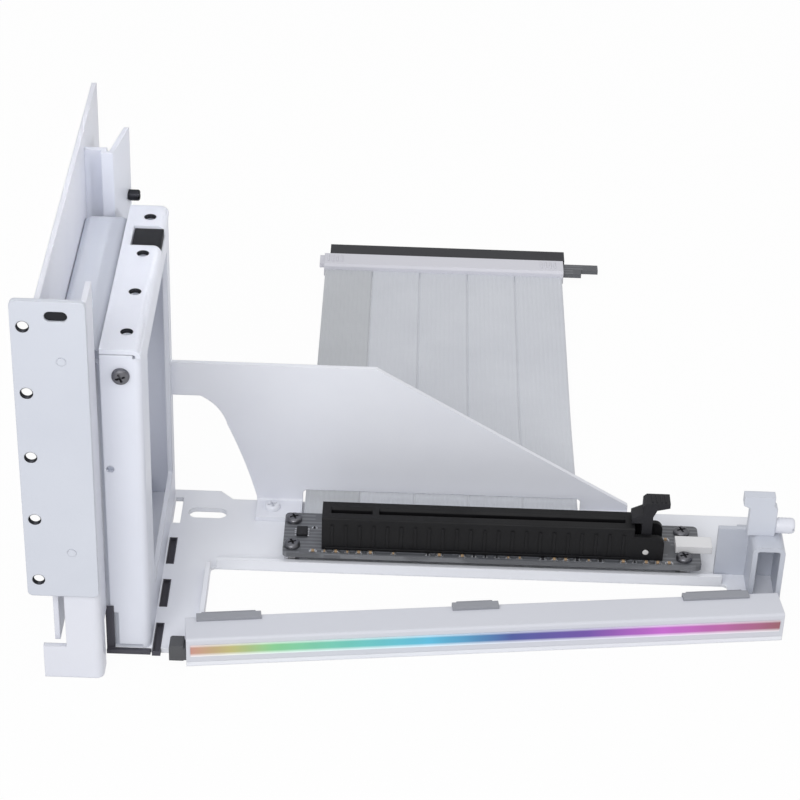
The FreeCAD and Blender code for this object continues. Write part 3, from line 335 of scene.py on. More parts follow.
def cable_sheath(name, colour, shade):
    """Soft satin sheath over the strand's wires, with painted shade making it a little darker along its
    furrows.
    """
    material, graph, shader = new_finish(name)
    handling = graph.use(HANDLING, Scale=45.0, Speck_scale=1100.0)
    grain = graph.use(GRAIN, Scale=2600.0, Fine_share=0.7)
    along = graph.add("ShaderNodeTexWave", {"Vector": graph.place(), "Scale": 330.0, "Distortion": 0.4,
                                            "Detail": 1.0}, bands_direction="Y").outputs["Fac"]
    patched = graph.blend(graph.times(handling["Patch"], 0.45), colour, shade)
    # The darker bands along the furrows are painted shade.
    graph.put(shader.inputs["Base Color"], graph.blend(graph.times(along, 0.10), patched, shade))
    graph.put(shader.inputs["Roughness"], graph.scale(handling["Patch"], 0.0, 1.0, 0.36, 0.5))
    shader.inputs["Sheen Weight"].default_value = 0.15
    height = graph.math("ADD", graph.times(along, 0.5), grain["Height"])
    bump(graph, shader, height, 0.03 * MM, 0.6)
    return material


def lit_diffuser(name):
    """Frosted strip: its colour changes along the bar, with paler edges and a brighter spot at each lamp."""
    material, graph, shader = new_finish(name)
    low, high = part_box("light_diffuser")
    where = graph.add("ShaderNodeTexCoord").outputs["Object"]
    place = graph.add("ShaderNodeSeparateXYZ", {"Vector": where}).outputs
    share = graph.scale(place["X"], low[0], high[0], 0.0, 1.0)
    ramp = graph.add("ShaderNodeValToRGB", {"Fac": share})
    stops = ramp.color_ramp.elements
    stops[0].position, stops[0].color = GLOW[0][0], tone(*GLOW[0][1])
    stops[1].position, stops[1].color = GLOW[-1][0], tone(*GLOW[-1][1])
    for position, colour in GLOW[1:-1]:
        stop = stops.new(position)
        stop.color = tone(*colour)
    upward = graph.scale(place["Z"], low[2], high[2], -1.0, 1.0)
    off_middle = graph.math("ABSOLUTE", upward)
    paled = graph.scale(off_middle, GLOW_CORE, 1.0, 0.0, 0.85)
    hue = graph.blend(paled, ramp.outputs[0], tone(*GLOW_PALE))
    wave = graph.math("SINE", graph.times(share, LIGHT_COUNT * 2 * math.pi))
    spots = graph.scale(wave, -1.0, 1.0, 0.92, 1.08)
    lit = graph.add("ShaderNodeMix", data_type="RGBA", blend_type="MULTIPLY")
    graph.put(lit.inputs["Factor"], 1.0)
    graph.put(lit.inputs[MIX_FIRST], hue)
    graph.put(lit.inputs[MIX_SECOND], spots)
    graph.put(shader.inputs["Base Color"], hue)
    graph.put(shader.inputs["Emission Color"], lit.outputs[MIX_RESULT])
    shader.inputs["Emission Strength"].default_value = GLOW_STRENGTH
    grain = graph.use(GRAIN, Scale=2400.0, Fine_share=0.4)
    graph.put(shader.inputs["Roughness"], graph.scale(grain["Height"], 0.3, 1.2, 0.32, 0.5))
    bump(graph, shader, grain["Height"], 0.02 * MM, 0.5)
    return material


# Copies of one white coat: the tray and brace copies are lighter, painted light, and the lip and end copies
# are darker, painted shade for parts that lie in shade.
PAINT = powder_coat("powder_coat", tone(222, 224, 233), tone(213, 215, 225), tone(236, 238, 244), 0.42)
FRAME_PAINT = powder_coat("frame_coat", tone(222, 225, 235), tone(213, 216, 227), tone(238, 240, 246), 0.42)
LIP_PAINT_SHADED = powder_coat("lip_coat_shaded", tone(206, 210, 220), tone(198, 202, 213), tone(228, 231, 238), 0.44)
TRAY_PAINT_LIT = powder_coat("tray_coat_lit", tone(234, 236, 242), tone(225, 227, 235), tone(246, 247, 250), 0.42)
BRACE_PAINT_LIT = powder_coat("brace_coat_lit", tone(234, 236, 243), tone(226, 228, 237), tone(240, 242, 247), 0.44)
END_PAINT_SHADED = powder_coat("end_coat_shaded", tone(194, 198, 208), tone(186, 190, 201), tone(218, 221, 229), 0.44)
BAR_PAINT = moulded_plastic("bar_skin", tone(208, 210, 218), tone(222, 224, 231), 0.42, 1800.0, 0.02)
BLACK = moulded_plastic("black_nylon", tone(13, 13, 16), tone(40, 41, 46), 0.58)
LATCH_BLACK = moulded_plastic("latch_nylon", tone(34, 34, 38), tone(46, 47, 52), 0.54)
# Dark fillers for the slots and for the gap at the frame's foot: their colour is painted shade.
SLOT_SHADE_BLACK = moulded_plastic("slot_shade_black", tone(30, 31, 36), tone(52, 53, 60), 0.7)
SHADE_LINING_GREY = moulded_plastic("shade_lining_grey", tone(76, 75, 83), tone(98, 97, 104), 0.7)
PLUG_END_GREY = moulded_plastic("plug_end", tone(84, 85, 88), tone(108, 109, 112), 0.6)
CAP_RUBBER = moulded_plastic("cap_rubber", tone(58, 58, 62), tone(84, 84, 89), 0.6)
CLIP_GREY = moulded_plastic("clip_grey", tone(150, 152, 159), tone(178, 180, 187), 0.55)
PLUG_GREY = moulded_plastic("plug_shell", tone(212, 212, 220), tone(226, 226, 232), 0.48, 1700.0, 0.03)
SOCKET_WHITE = moulded_plastic("socket_nylon", tone(222, 222, 224), tone(240, 240, 242), 0.42, 2600.0, 0.02)
NICKEL = plated_metal("nickel_plate", tone(214, 213, 212), tone(182, 181, 182), 0.3)
DARK_STEEL = plated_metal("dark_steel", tone(64, 65, 70), tone(46, 47, 51), 0.4)
GREY_STEEL = plated_metal("grey_steel", tone(122, 122, 127), tone(96, 97, 102), 0.42)
GOLD = plated_metal("contact_gold", tone(226, 188, 108), tone(196, 156, 82), 0.28)
TIN = plated_metal("solder_tin", tone(205, 206, 210), tone(170, 172, 178), 0.36)
LAMINATE = circuit_laminate("solder_resist", tone(84, 86, 91), tone(112, 114, 119))
SHEATH = cable_sheath("cable_sheath", tone(206, 209, 216), tone(191, 194, 202))
# A darker copy of the sheath for the first strand: painted shade.
SHEATH_SHADED = cable_sheath("cable_sheath_shaded", tone(191, 194, 199), tone(177, 180, 185))
GLOWING = lit_diffuser("lit_diffuser")
CERAMIC = moulded_plastic("ceramic_tan", tone(168, 142, 112), tone(196, 170, 138), 0.5, 3000.0, 0.01)
CHIP_BLACK = moulded_plastic("chip_resin", tone(30, 30, 34), tone(56, 56, 60), 0.6, 3000.0, 0.01)
LAMP_WHITE = moulded_plastic("lamp_body", tone(232, 232, 226), tone(244, 244, 240), 0.35, 3000.0, 0.01)

# The lit and shaded copies of the white coat go to single parts as painted light and painted shade.
NODE_FINISH = {
    "card_frame": FRAME_PAINT, "carriage": LIP_PAINT_SHADED, "rear_plate": PAINT, "screw_lip": LIP_PAINT_SHADED,
    "lip_rivets": LIP_PAINT_SHADED, "far_post": FRAME_PAINT, "base_frame": TRAY_PAINT_LIT, "back_brace": BRACE_PAINT_LIT,
    "end_bracket": END_PAINT_SHADED, "support_post": LIP_PAINT_SHADED, "light_bar_housing": BAR_PAINT,
    "light_diffuser": GLOWING, "led_board": LAMINATE, "led_row": LAMP_WHITE, "bar_clips": CLIP_GREY,
    "bar_plug": PLUG_END_GREY, "riser_board": LAMINATE, "slot_body": BLACK, "slot_contacts": GOLD,
    "card_latch": LATCH_BLACK, "cable_clamp": BLACK, "plug_board": LAMINATE, "plug_fingers": GOLD,
    "plug_cover_upper": PLUG_GREY, "plug_cover_lower": PLUG_GREY, "finger_cap": CAP_RUBBER,
    # The slot linings and the lip slot's liner are painted shade in the slots.
    "slot_linings": SHADE_LINING_GREY, "lip_slot_liner": SLOT_SHADE_BLACK, "board_connector": SOCKET_WHITE,
}


def dress_nodes():
    """Gives every solid its finish. Small metal parts that the list leaves out are nickel plated."""
    for name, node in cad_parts.items():
        node.data.materials.clear()
        node.data.materials.append(NODE_FINISH.get(name, NICKEL))


# Making pieces


def piece_from(name, bm, finish, body="mount", smooth_angle=35.0):
    """A mesh piece that rides on a body of the mount."""
    mesh = bpy.data.meshes.new(name)
    bmesh.ops.recalc_face_normals(bm, faces=bm.faces)
    limit = math.radians(smooth_angle)
    for face in bm.faces:
        face.smooth = True
    for edge in bm.edges:
        edge.smooth = len(edge.link_faces) == 2 and edge.calc_face_angle(0.0) < limit
    bm.to_mesh(mesh)
    bm.free()
    piece = bpy.data.objects.new(name, mesh)
    mesh.materials.append(finish)
    bpy.context.scene.collection.objects.link(piece)
    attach(piece, body)
    return piece


def facing(axis):
    """The turn that takes +Z to an axis."""
    return Z_AXIS.rotation_difference(axis).to_matrix().to_4x4()


def lathe(bm, profile, place, axis, steps=40):
    """A turned form from pairs of radius and height, both in millimetres. Gives back its rings."""
    turn = Matrix.Translation(place) @ facing(axis)
    rings = []
    for radius, height in profile:
        if radius == 0:
            rings.append([bm.verts.new(turn @ Vector((0, 0, height * MM)))])
            continue
        ring = []
        for step in range(steps):
            angle = 2 * math.pi * step / steps
            point = Vector((math.cos(angle) * radius, math.sin(angle) * radius, height)) * MM
            ring.append(bm.verts.new(turn @ point))
        rings.append(ring)
    for lower, upper in zip(rings, rings[1:]):
        for step in range(steps):
            after = (step + 1) % steps
            corners = [lower[step % len(lower)], lower[after % len(lower)],
                       upper[after % len(upper)], upper[step % len(upper)]]
            unique = list(dict.fromkeys(corners))
            bm.faces.new(unique)
    return rings


def add_block(bm, corner, far_corner, soften=0.0, turn=None):
    """A block between two corners in millimetres, with softened edges if asked."""
    low = Vector([min(pair) for pair in zip(corner, far_corner)]) * MM
    high = Vector([max(pair) for pair in zip(corner, far_corner)]) * MM
    made = bmesh.ops.create_cube(bm, size=1.0)["verts"]
    middle = (low + high) / 2
    size = high - low
    for vert in made:
        vert.co = Vector((vert.co.x * size.x, vert.co.y * size.y, vert.co.z * size.z)) + middle
    if turn is not None:
        bmesh.ops.transform(bm, matrix=turn, verts=made)
    if soften > 0:
        edges = list({edge for vert in made for edge in vert.link_edges})
        bmesh.ops.bevel(bm, geom=edges, offset=soften * MM, segments=2, affect="EDGES", profile=0.6)


def carve(piece, cutter_bm):
    """Cuts a form out of a piece and keeps the result as its mesh."""
    mesh = bpy.data.meshes.new("cutter")
    cutter_bm.to_mesh(mesh)
    cutter_bm.free()
    cutter = bpy.data.objects.new("cutter", mesh)
    bpy.context.scene.collection.objects.link(cutter)
    cut = piece.modifiers.new("cut", "BOOLEAN")
    cut.operation = "DIFFERENCE"
    cut.solver = "EXACT"
    cut.object = cutter
    bpy.context.view_layer.update()
    graph = bpy.context.evaluated_depsgraph_get()
    result = bpy.data.meshes.new_from_object(piece.evaluated_get(graph))
    piece.modifiers.clear()
    old = piece.data
    name = old.name
    piece.data = result
    bpy.data.meshes.remove(old)
    result.name = name
    bpy.data.objects.remove(cutter)
    bpy.data.meshes.remove(mesh)


def box_mm(node):
    """The low and high corners of a solid's box, in millimetres."""
    low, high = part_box(node)
    return [value / MM for value in low], [value / MM for value in high]


def even_places(node, counts, radius):
    """Centres of equal round heads that fill a node's box, in a grid of this many along X, Y and Z."""
    low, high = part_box(node)
    spans = []
    for axis in range(3):
        if counts[axis] == 0:
            spans.append([None])
        elif counts[axis] == 1:
            spans.append([(low[axis] + high[axis]) / 2])
        else:
            first, last = low[axis] + radius * MM, high[axis] - radius * MM
            step = (last - first) / (counts[axis] - 1)
            spans.append([first + step * i for i in range(counts[axis])])
    return [(x, y, z) for x in spans[0] for y in spans[1] for z in spans[2]]


# Screws, rivets, thumb screws and threads, in millimetres

HEAD_RADIUS = 2.4
HEAD_HEIGHT = 1.5
HEAD_RIM = HEAD_HEIGHT * 0.35
HEAD_DOME = HEAD_HEIGHT * 0.6
SHOULDER = 0.9
SHANK_RADIUS = 1.2
CROSS_REACH = 1.35
CROSS_WIDTH = 0.32
CROSS_DEPTH = 1.0
CROSS_TURN = math.radians(20)
CUT_MARGIN = 0.5
THREAD_STEPS = 24
THREAD_LENGTH = 1.4
THREAD_START = -1.3
THREAD_DEPTH = 0.25
THREAD_PITCH = 0.35
THREAD_HALF = 0.17
THREAD_CLEARANCE = 0.05
THREAD_TURNS = 4

# Thumb screws: the collar, the grip and the crown are shares of the length
GRIP_STEPS = 72
GRIP_ROWS = 15
GRIP_DEPTH = 0.16
GRIP_LEAN = 1.5
NECK_DEPTH = 0.17
COLLAR_END = 0.12
GRIP_START = 0.15
GRIP_SHARE = 0.72
CROWN_START = 0.9
CROWN_SHOULDER = 0.96
DRIVER_SLOT_DEPTH = 0.7
DRIVER_SLOT_HALF = 0.35


def dome_profile(shank):
    """A pan head with a rounded shoulder, on its shank."""
    rim = [(HEAD_RADIUS, 0.0), (HEAD_RADIUS, HEAD_RIM)]
    shoulder = [(HEAD_RADIUS - SHOULDER * (1 - math.cos(angle)), HEAD_RIM + HEAD_DOME * math.sin(angle))
                for angle in (0.3, 0.6, 0.9, 1.2, math.pi / 2)]
    crown = [(0.8, HEAD_HEIGHT * 0.99), (0.0, HEAD_HEIGHT)]
    return [(0.0, -shank), (SHANK_RADIUS, -shank), (SHANK_RADIUS, 0.0)] + rim + shoulder + crown


def cross_recess(bm, place, axis):
    """A cross that sinks into a head, made as one closed form."""
    turn = Matrix.Translation(place) @ facing(axis) @ Matrix.Rotation(CROSS_TURN, 4, "Z")
    corner = [(CROSS_REACH, -CROSS_WIDTH), (CROSS_REACH, CROSS_WIDTH), (CROSS_WIDTH, CROSS_WIDTH)]
    outline = []
    for quarter in range(4):
        angle = math.radians(90 * quarter)
        outline += [(x * math.cos(angle) - y * math.sin(angle), x * math.sin(angle) + y * math.cos(angle))
                    for x, y in corner]
    floor, top = [[bm.verts.new(turn @ (Vector((x, y, z)) * MM)) for x, y in outline]
                  for z in (HEAD_HEIGHT - CROSS_DEPTH, HEAD_HEIGHT + CUT_MARGIN)]
    bm.faces.new(list(reversed(floor)))
    bm.faces.new(top)
    for step in range(len(outline)):
        after = (step + 1) % len(outline)
        bm.faces.new((floor[step], floor[after], top[after], top[step]))


def screw_set(node, counts, axis, shank, recess=True, finish=NICKEL):
    """Pan heads in place of a node's plain ones. The seat lies at the box's near end along the axis."""
    low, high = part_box(node)
    along = [i for i in range(3) if abs(axis[i]) > 0.5][0]
    seat = high[along] - HEAD_HEIGHT * MM if axis[along] > 0 else low[along] + HEAD_HEIGHT * MM
    bm = bmesh.new()
    cutter = bmesh.new()
    for place in even_places(node, counts, HEAD_RADIUS):
        spot = Vector([seat if i == along else place[i] for i in range(3)])
        lathe(bm, dome_profile(shank), spot, axis)
        cross_recess(cutter, spot, axis)
    piece = piece_from(node + "_heads", bm, finish)
    if recess:
        carve(piece, cutter)
    else:
        cutter.free()
    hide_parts(node)


def knurled_grip(name, node, radius, length, finish):
    """A thumb screw with a diamond-cut grip, a collar and a driver slot. It points along +X."""
    low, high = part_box(node)
    seat = Vector((high[0] - length * MM, (low[1] + high[1]) / 2, (low[2] + high[2]) / 2))
    neck = radius - NECK_DEPTH
    shank = (seat.x - low[0]) / MM
    base = [(0.0, -shank), (SHANK_RADIUS, -shank), (SHANK_RADIUS, 0.0), (radius - 0.5, 0.0),
            (neck, 0.1), (neck, length * COLLAR_END)]
    crown = [(neck, length * CROWN_START), (radius - 0.3, length * CROWN_SHOULDER), (radius - 0.6, length),
             (0.0, length)]
    bm = bmesh.new()
    base_rings = lathe(bm, base, seat, X_AXIS, GRIP_STEPS)
    crown_rings = lathe(bm, crown, seat, X_AXIS, GRIP_STEPS)
    turn = Matrix.Translation(seat) @ facing(X_AXIS)
    rings = [base_rings[-1]]
    for row in range(GRIP_ROWS + 1):
        height = length * (GRIP_START + GRIP_SHARE * row / GRIP_ROWS)
        lean = row * GRIP_LEAN
        ring = []
        for step in range(GRIP_STEPS):
            ridge = abs(((step + lean) % 4) / 2 - 1) + abs(((step - lean) % 4) / 2 - 1)
            reach = radius - GRIP_DEPTH + GRIP_DEPTH * 0.5 * ridge
            angle = 2 * math.pi * step / GRIP_STEPS
            point = Vector((math.cos(angle) * reach, math.sin(angle) * reach, height)) * MM
            ring.append(bm.verts.new(turn @ point))
        rings.append(ring)
    rings.append(crown_rings[0])
    for lower, upper in zip(rings, rings[1:]):
        for step in range(GRIP_STEPS):
            after = (step + 1) % GRIP_STEPS
            bm.faces.new((lower[step], lower[after], upper[after], upper[step]))
    piece = piece_from(name, bm, finish, smooth_angle=20.0)
    cutter = bmesh.new()
    add_block(cutter, (length - DRIVER_SLOT_DEPTH, -radius, -DRIVER_SLOT_HALF),
              (length + CUT_MARGIN, radius, DRIVER_SLOT_HALF), 0.0, Matrix.Translation(seat))
    carve(piece, cutter)
    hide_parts(node)


def hole_threads():
    """Fine thread turns inside the rows of screw holes; their dark colour is also painted shade in the
    holes.
    """
    outer, crest = HOLE_RADIUS, HOLE_RADIUS - THREAD_DEPTH
    turns = [(outer, -THREAD_LENGTH)]
    for turn_number in range(THREAD_TURNS):
        height = THREAD_START + THREAD_PITCH * turn_number
        turns += [(crest, height), (outer - THREAD_CLEARANCE, height + THREAD_HALF)]
    turns += [(outer, -THREAD_CLEARANCE), (outer, -THREAD_LENGTH)]
    bm = bmesh.new()
    rows = ((LIP_HOLE, LIP_HOLE_COUNT, Z_AXIS, -Y_AXIS), (FRAME_HOLE, FRAME_HOLE_COUNT, Y_AXIS, Z_AXIS))
    for first, count, along, outward in rows:
        for number in range(count):
            place = (Vector(first) + along * (number * HOLE_PITCH)) * MM
            lathe(bm, turns, place, outward, THREAD_STEPS)
    bmesh.ops.remove_doubles(bm, verts=bm.verts, dist=0.001 * MM)
    # The dark steel is painted shade inside the holes as well as the threads' own colour.
    piece_from("hole_threads", bm, DARK_STEEL)


# Riser cable


def cable_route():
    """The cable's middle line at X 0, read from its smooth curve."""
    curve = bpy.data.curves.new("cable_route", "CURVE")
    curve.dimensions = "3D"
    curve.resolution_u = 20
    spline = curve.splines.new("NURBS")
    spline.points.add(len(RIBBON_ROUTE) - 1)
    for point, (y, z) in zip(spline.points, RIBBON_ROUTE):
        point.co = (0.0, y * MM, z * MM, 1.0)
    spline.order_u = 3
    spline.use_endpoint_u = True
    holder = bpy.data.objects.new("cable_route", curve)
    bpy.context.scene.collection.objects.link(holder)
    line = bpy.data.meshes.new_from_object(holder)
    points = [vert.co.copy() for vert in line.vertices]
    bpy.data.objects.remove(holder)
    bpy.data.curves.remove(curve)
    bpy.data.meshes.remove(line)
    return points


def strand_section():
    """A strand's outline: wires show as low ribs under the sheath, and the edges are round."""
    across = STRAND_RIBS * STRAND_RIB_STEPS
    top = []
    for step in range(across + 1):
        share = 2 * step / across - 1
        rib = STRAND_RIB_DEPTH * (1 - abs(math.sin(math.pi * STRAND_RIBS * step / across)))
        edge = max(0.0, 1 - abs(share) ** STRAND_EDGE_POWER) ** 0.5
        top.append((share * SHEATH_WIDTH / 2, (STRAND_THICKNESS / 2 - rib) * edge))
    under = [(x, -z) for x, z in reversed(top[1:-1])]
    return top + under


def cable_strand(index, route):
    """One flat strand of the riser cable, swept along the route."""
    middle = (RIBBON_MIDDLE + (index - (STRAND_COUNT - 1) / 2) * STRAND_PITCH) * MM
    section = strand_section()
    bm = bmesh.new()
    rings = []
    for number, point in enumerate(route):
        before = route[max(number - 1, 0)]
        after = route[min(number + 1, len(route) - 1)]
        up = X_AXIS.cross((after - before).normalized())
        rings.append([bm.verts.new(point + X_AXIS * (middle + x * MM) + up * z * MM) for x, z in section])
    for lower, upper in zip(rings, rings[1:]):
        for step in range(len(section)):
            after = (step + 1) % len(section)
            bm.faces.new((lower[step], upper[step], upper[after], lower[after]))
    bm.faces.new(rings[0])
    bm.faces.new(list(reversed(rings[-1])))
    # The first strand takes the darker copy of the sheath, painted shade.
    finish = SHEATH_SHADED if index == 0 else SHEATH
    strand = piece_from(f"cable_strand_{index + 1}", bm, finish, smooth_angle=50.0)
    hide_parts(f"ribbon_strand_{index + 1}")


# Riser board's small parts, in millimetres. A part's size is its length, depth and height.

PART_SIZES = ((1.6, 0.8, 0.55), (1.0, 0.6, 0.4), (1.6, 0.8, 0.45))
PART_KINDS = ("tan", "tan", "black")
PART_SHARE = 0.72
PART_MARGIN = 9.0
PART_BEVEL = 0.05
BODY_SHARE = 0.28
END_SHARE = 0.5
PAD_SHARE = 0.62
NEAR_ROW_STEP = 3.4
FAR_ROW_STEP = 4.2
FAR_ROW_GAP = 1.45
PAD_HALF = 0.22
PAD_RIM = 0.08
PAD_HEIGHT = 0.06
CHIP_LEFT = 5.4
CHIP_NEAR = 10.0
CHIP_HALF_X = 1.6
CHIP_HALF_Y = 2.0
LEAD_COUNT = 4
LEAD_FIRST = 1.5
LEAD_PITCH = 1.0
LEAD_REACH = 2.2
LEAD_HALF = 0.2


def board_part(body, ends, x, y, top, size):
    """One capacitor or resistor with its tinned ends and their pads."""
    wide, deep, tall = size
    half = deep / 2
    add_block(body, (x - wide * BODY_SHARE, y - half, top), (x + wide * BODY_SHARE, y + half, top + tall),
              PART_BEVEL)
    for side in (-1, 1):
        near = x + side * wide * BODY_SHARE
        far = x + side * wide * END_SHARE
        pad = x + side * wide * PAD_SHARE
        add_block(ends, (near, y - half, top), (far, y + half, top + tall), PART_BEVEL)
        add_block(ends, (pad - PAD_HALF, y - half - PAD_RIM, top),
                  (pad + PAD_HALF, y + half + PAD_RIM, top + PAD_HEIGHT))


def board_parts():
    """Capacitors and resistors in rows beside the slot, with gaps where none is fitted."""
    low, high = box_mm("riser_board")
    slot_low, slot_high = box_mm("slot_body")
    top = high[2]
    near_row = (low[1] + slot_low[1]) / 2
    far_row = slot_high[1] + FAR_ROW_GAP
    random.seed(4)
    bodies = {"tan": bmesh.new(), "black": bmesh.new()}
    ends = bmesh.new()
    for y, step in ((near_row, NEAR_ROW_STEP), (far_row, FAR_ROW_STEP)):
        x = low[0] + PART_MARGIN
        while x < high[0] - PART_MARGIN:
            size = random.choice(PART_SIZES)
            kind = random.choice(PART_KINDS)
            if random.random() < PART_SHARE:
                board_part(bodies[kind], ends, x, y, top, size)
            x += step
    piece_from("board_capacitors", bodies["tan"], CERAMIC)
    piece_from("board_resistors", bodies["black"], CHIP_BLACK)
    piece_from("board_solder", ends, TIN)


def board_chips():
    """A small leaded chip at the board's left end."""
    low, high = box_mm("riser_board")
    top = high[2]
    resin = bmesh.new()
    leads = bmesh.new()
    x, y = low[0] + CHIP_LEFT, low[1] + CHIP_NEAR
    add_block(resin, (x - CHIP_HALF_X, y - CHIP_HALF_Y, top + 0.12),
              (x + CHIP_HALF_X, y + CHIP_HALF_Y, top + 1.0), 0.12)
    for side in (-1, 1):
        for number in range(LEAD_COUNT):
            lead_y = y - LEAD_FIRST + number * LEAD_PITCH
            add_block(leads, (x + side * CHIP_HALF_X, lead_y - LEAD_HALF, top + 0.02),
                      (x + side * LEAD_REACH, lead_y + LEAD_HALF, top + 0.3), 0.04)
    piece_from("board_chips", resin, CHIP_BLACK)
    piece_from("board_chip_leads", leads, TIN)


# Ribs and grip lines, in millimetres. A line's rise is its height over the skin.

SLOT_RIBS = 22
SLOT_RIB_START = 3.0
SLOT_RIB_SPAN = 86.0
SLOT_RIB_HALF = 0.45
SLOT_RIB_DEPTH = 0.3
SLOT_RIB_BASE = 1.2
SLOT_RIB_TOP = 2.4
SLOT_FOOT_OVERHANG = 2.0
SLOT_FOOT_DEPTH = 0.35
SLOT_FOOT_HEIGHT = 1.0
LINE_SINK = 0.02
LATCH_LINES = 4
LATCH_LINE_PITCH = 1.3
LATCH_LINE_HALF = 0.25
LATCH_LINE_MARGIN = 0.5
LATCH_LINE_RISE = 0.22
PLUG_LINES = 4
PLUG_LINE_START = 3.0
PLUG_LINE_PITCH = 1.6
PLUG_LINE_HALF = 0.35
PLUG_LINE_MARGIN = 2.2
PLUG_LINE_RISE = 0.25


def slot_details():
    """Moulded ribs along both sides of the card slot, and a foot along each side."""
    low, high = box_mm("slot_body")
    left = low[0] + SLOT_RIB_START
    right = left + SLOT_RIB_SPAN
    base, top = low[2], high[2]
    bm = bmesh.new()
    for y, out in ((low[1], -1), (high[1], 1)):
        for number in range(SLOT_RIBS):
            x = left + (right - left) * number / (SLOT_RIBS - 1)
            add_block(bm, (x - SLOT_RIB_HALF, y, base + SLOT_RIB_BASE),
                      (x + SLOT_RIB_HALF, y + out * SLOT_RIB_DEPTH, top - SLOT_RIB_TOP), 0.1)
        add_block(bm, (left - SLOT_FOOT_OVERHANG, y, base),
                  (right + SLOT_FOOT_OVERHANG, y + out * SLOT_FOOT_DEPTH, base + SLOT_FOOT_HEIGHT), 0.12)
    piece_from("slot_ribs", bm, BLACK)


def latch_grip():
    """Raised lines across the latch's thumb pad."""
    low, high = box_mm("card_latch")
    near, far = low[1] + LATCH_LINE_MARGIN, high[1] - LATCH_LINE_MARGIN
    top = high[2]
    bm = bmesh.new()
    for number in range(LATCH_LINES):
        x = high[0] - LATCH_LINE_PITCH - number * LATCH_LINE_PITCH
        add_block(bm, (x - LATCH_LINE_HALF, near, top - LINE_SINK),
                  (x + LATCH_LINE_HALF, far, top + LATCH_LINE_RISE), 0.08)
    piece_from("latch_grip", bm, LATCH_BLACK, body="latch")


def plug_details():
    """Grip ridges near both ends of the plug's upper shell."""
    low, high = box_mm("plug_cover_upper")
    near, far = low[1] + PLUG_LINE_MARGIN, high[1] - PLUG_LINE_MARGIN
    top = high[2]
    bm = bmesh.new()
    for end, inward in ((low[0], 1), (high[0], -1)):
        for number in range(PLUG_LINES):
            x = end + inward * (PLUG_LINE_START + number * PLUG_LINE_PITCH)
            add_block(bm, (x - PLUG_LINE_HALF, near, top - LINE_SINK),
                      (x + PLUG_LINE_HALF, far, top + PLUG_LINE_RISE), 0.1)
    piece_from("plug_grips", bm, PLUG_GREY)


# Painted shade on the card frame: a dark blank in its top slot and a dark corner strip, in millimetres

BLANK_START = 22.2
BLANK_END = 11.8
BLANK_LEFT = 2.6
BLANK_RIGHT = 0.2
BLANK_FLOOR = 3.2
BLANK_TOP = 0.7
STRIP_OVERHANG = 1.4
STRIP_LIFT = 0.2
STRIP_RIGHT = 1.0
STRIP_DEPTH = 0.3
STRIP_HEIGHT = 15.0


def frame_buffers():
    """A black blank in the slot on top of the card frame and a dark corner strip at its front foot, both
    painted shade in a slot and in a gap.
    """
    (left, near, base), (right, far, top) = box_mm("card_frame")
    blank = bmesh.new()
    add_block(blank, (left + BLANK_LEFT, far - BLANK_START, top - BLANK_FLOOR),
              (right - BLANK_RIGHT, far - BLANK_END, top - BLANK_TOP), 0.3)
    piece_from("grip_slot_shade", blank, SLOT_SHADE_BLACK)
    strip = bmesh.new()
    add_block(strip, (left - STRIP_OVERHANG, near - STRIP_OVERHANG, STRIP_LIFT), (right, near, base), 0.1)
    add_block(strip, (left - STRIP_OVERHANG, near - STRIP_DEPTH, base - STRIP_DEPTH),
              (left + STRIP_RIGHT, near, base + STRIP_HEIGHT), 0.1)
    piece_from("heel_shade_strip", strip, SHADE_LINING_GREY)


# Stage, lights and camera

WHITE = (1.0, 1.0, 1.0, 1.0)
FLOOR_GREY = (0.8, 0.8, 0.8, 1.0)
FLOOR_WHITE_SHARE = 0.96
FLOOR_SIZE = 4.0
FLOOR_GAP = 0.1 * MM
SKY_STRENGTH = 0.62
MOUNT_MIDDLE = (0.08, 0.0, 0.03)


def stage_finish():
    """White to the eye and in reflections, with a faint shadow, and pale to everything else."""
    material = bpy.data.materials.new("studio_floor")
    material.use_nodes = True
    tree = material.node_tree
    tree.nodes.clear()
    graph = Graph(tree)
    pale = graph.add("ShaderNodeBsdfDiffuse", {"Color": FLOOR_GREY})
    white = graph.add("ShaderNodeEmission", {"Color": WHITE, "Strength": 1.0})
    rays = graph.add("ShaderNodeLightPath").outputs
    reflected = graph.math("MAXIMUM", rays["Is Glossy Ray"], rays["Is Transmission Ray"])
    seen = graph.math("MAXIMUM", rays["Is Camera Ray"], reflected)
    mixed = graph.add("ShaderNodeMixShader", {0: graph.times(seen, FLOOR_WHITE_SHARE), 1: pale.outputs[0],
                                              2: white.outputs[0]})
    output = graph.add("ShaderNodeOutputMaterial")
    graph.put(output.inputs["Surface"], mixed.outputs[0])
    return material


def studio_floor():
    """A wide floor just under the mount's feet."""
    bm = bmesh.new()
    bmesh.ops.create_grid(bm, x_segments=1, y_segments=1, size=FLOOR_SIZE)
    mesh = bpy.data.meshes.new("studio_floor")
    bm.to_mesh(mesh)
    bm.free()
    mesh.materials.append(stage_finish())
    floor = bpy.data.objects.new("studio_floor", mesh)
    floor.location.z = -FLOOR_GAP
    bpy.context.scene.collection.objects.link(floor)


def soft_lamp(name, place, target, size, power, spread=180.0):
    """A lamp with a square face, whose light can be kept within a narrow angle in degrees."""
    lamp = bpy.data.lights.new(name, "AREA")
    lamp.shape = "SQUARE"
    lamp.size = size
    lamp.energy = power
    lamp.spread = math.radians(spread)
    holder = bpy.data.objects.new(name, lamp)
    holder.location = place
    holder.rotation_mode = "QUATERNION"
    holder.rotation_quaternion = (Vector(target) - Vector(place)).to_track_quat("-Z", "Y")
    bpy.context.scene.collection.objects.link(holder)


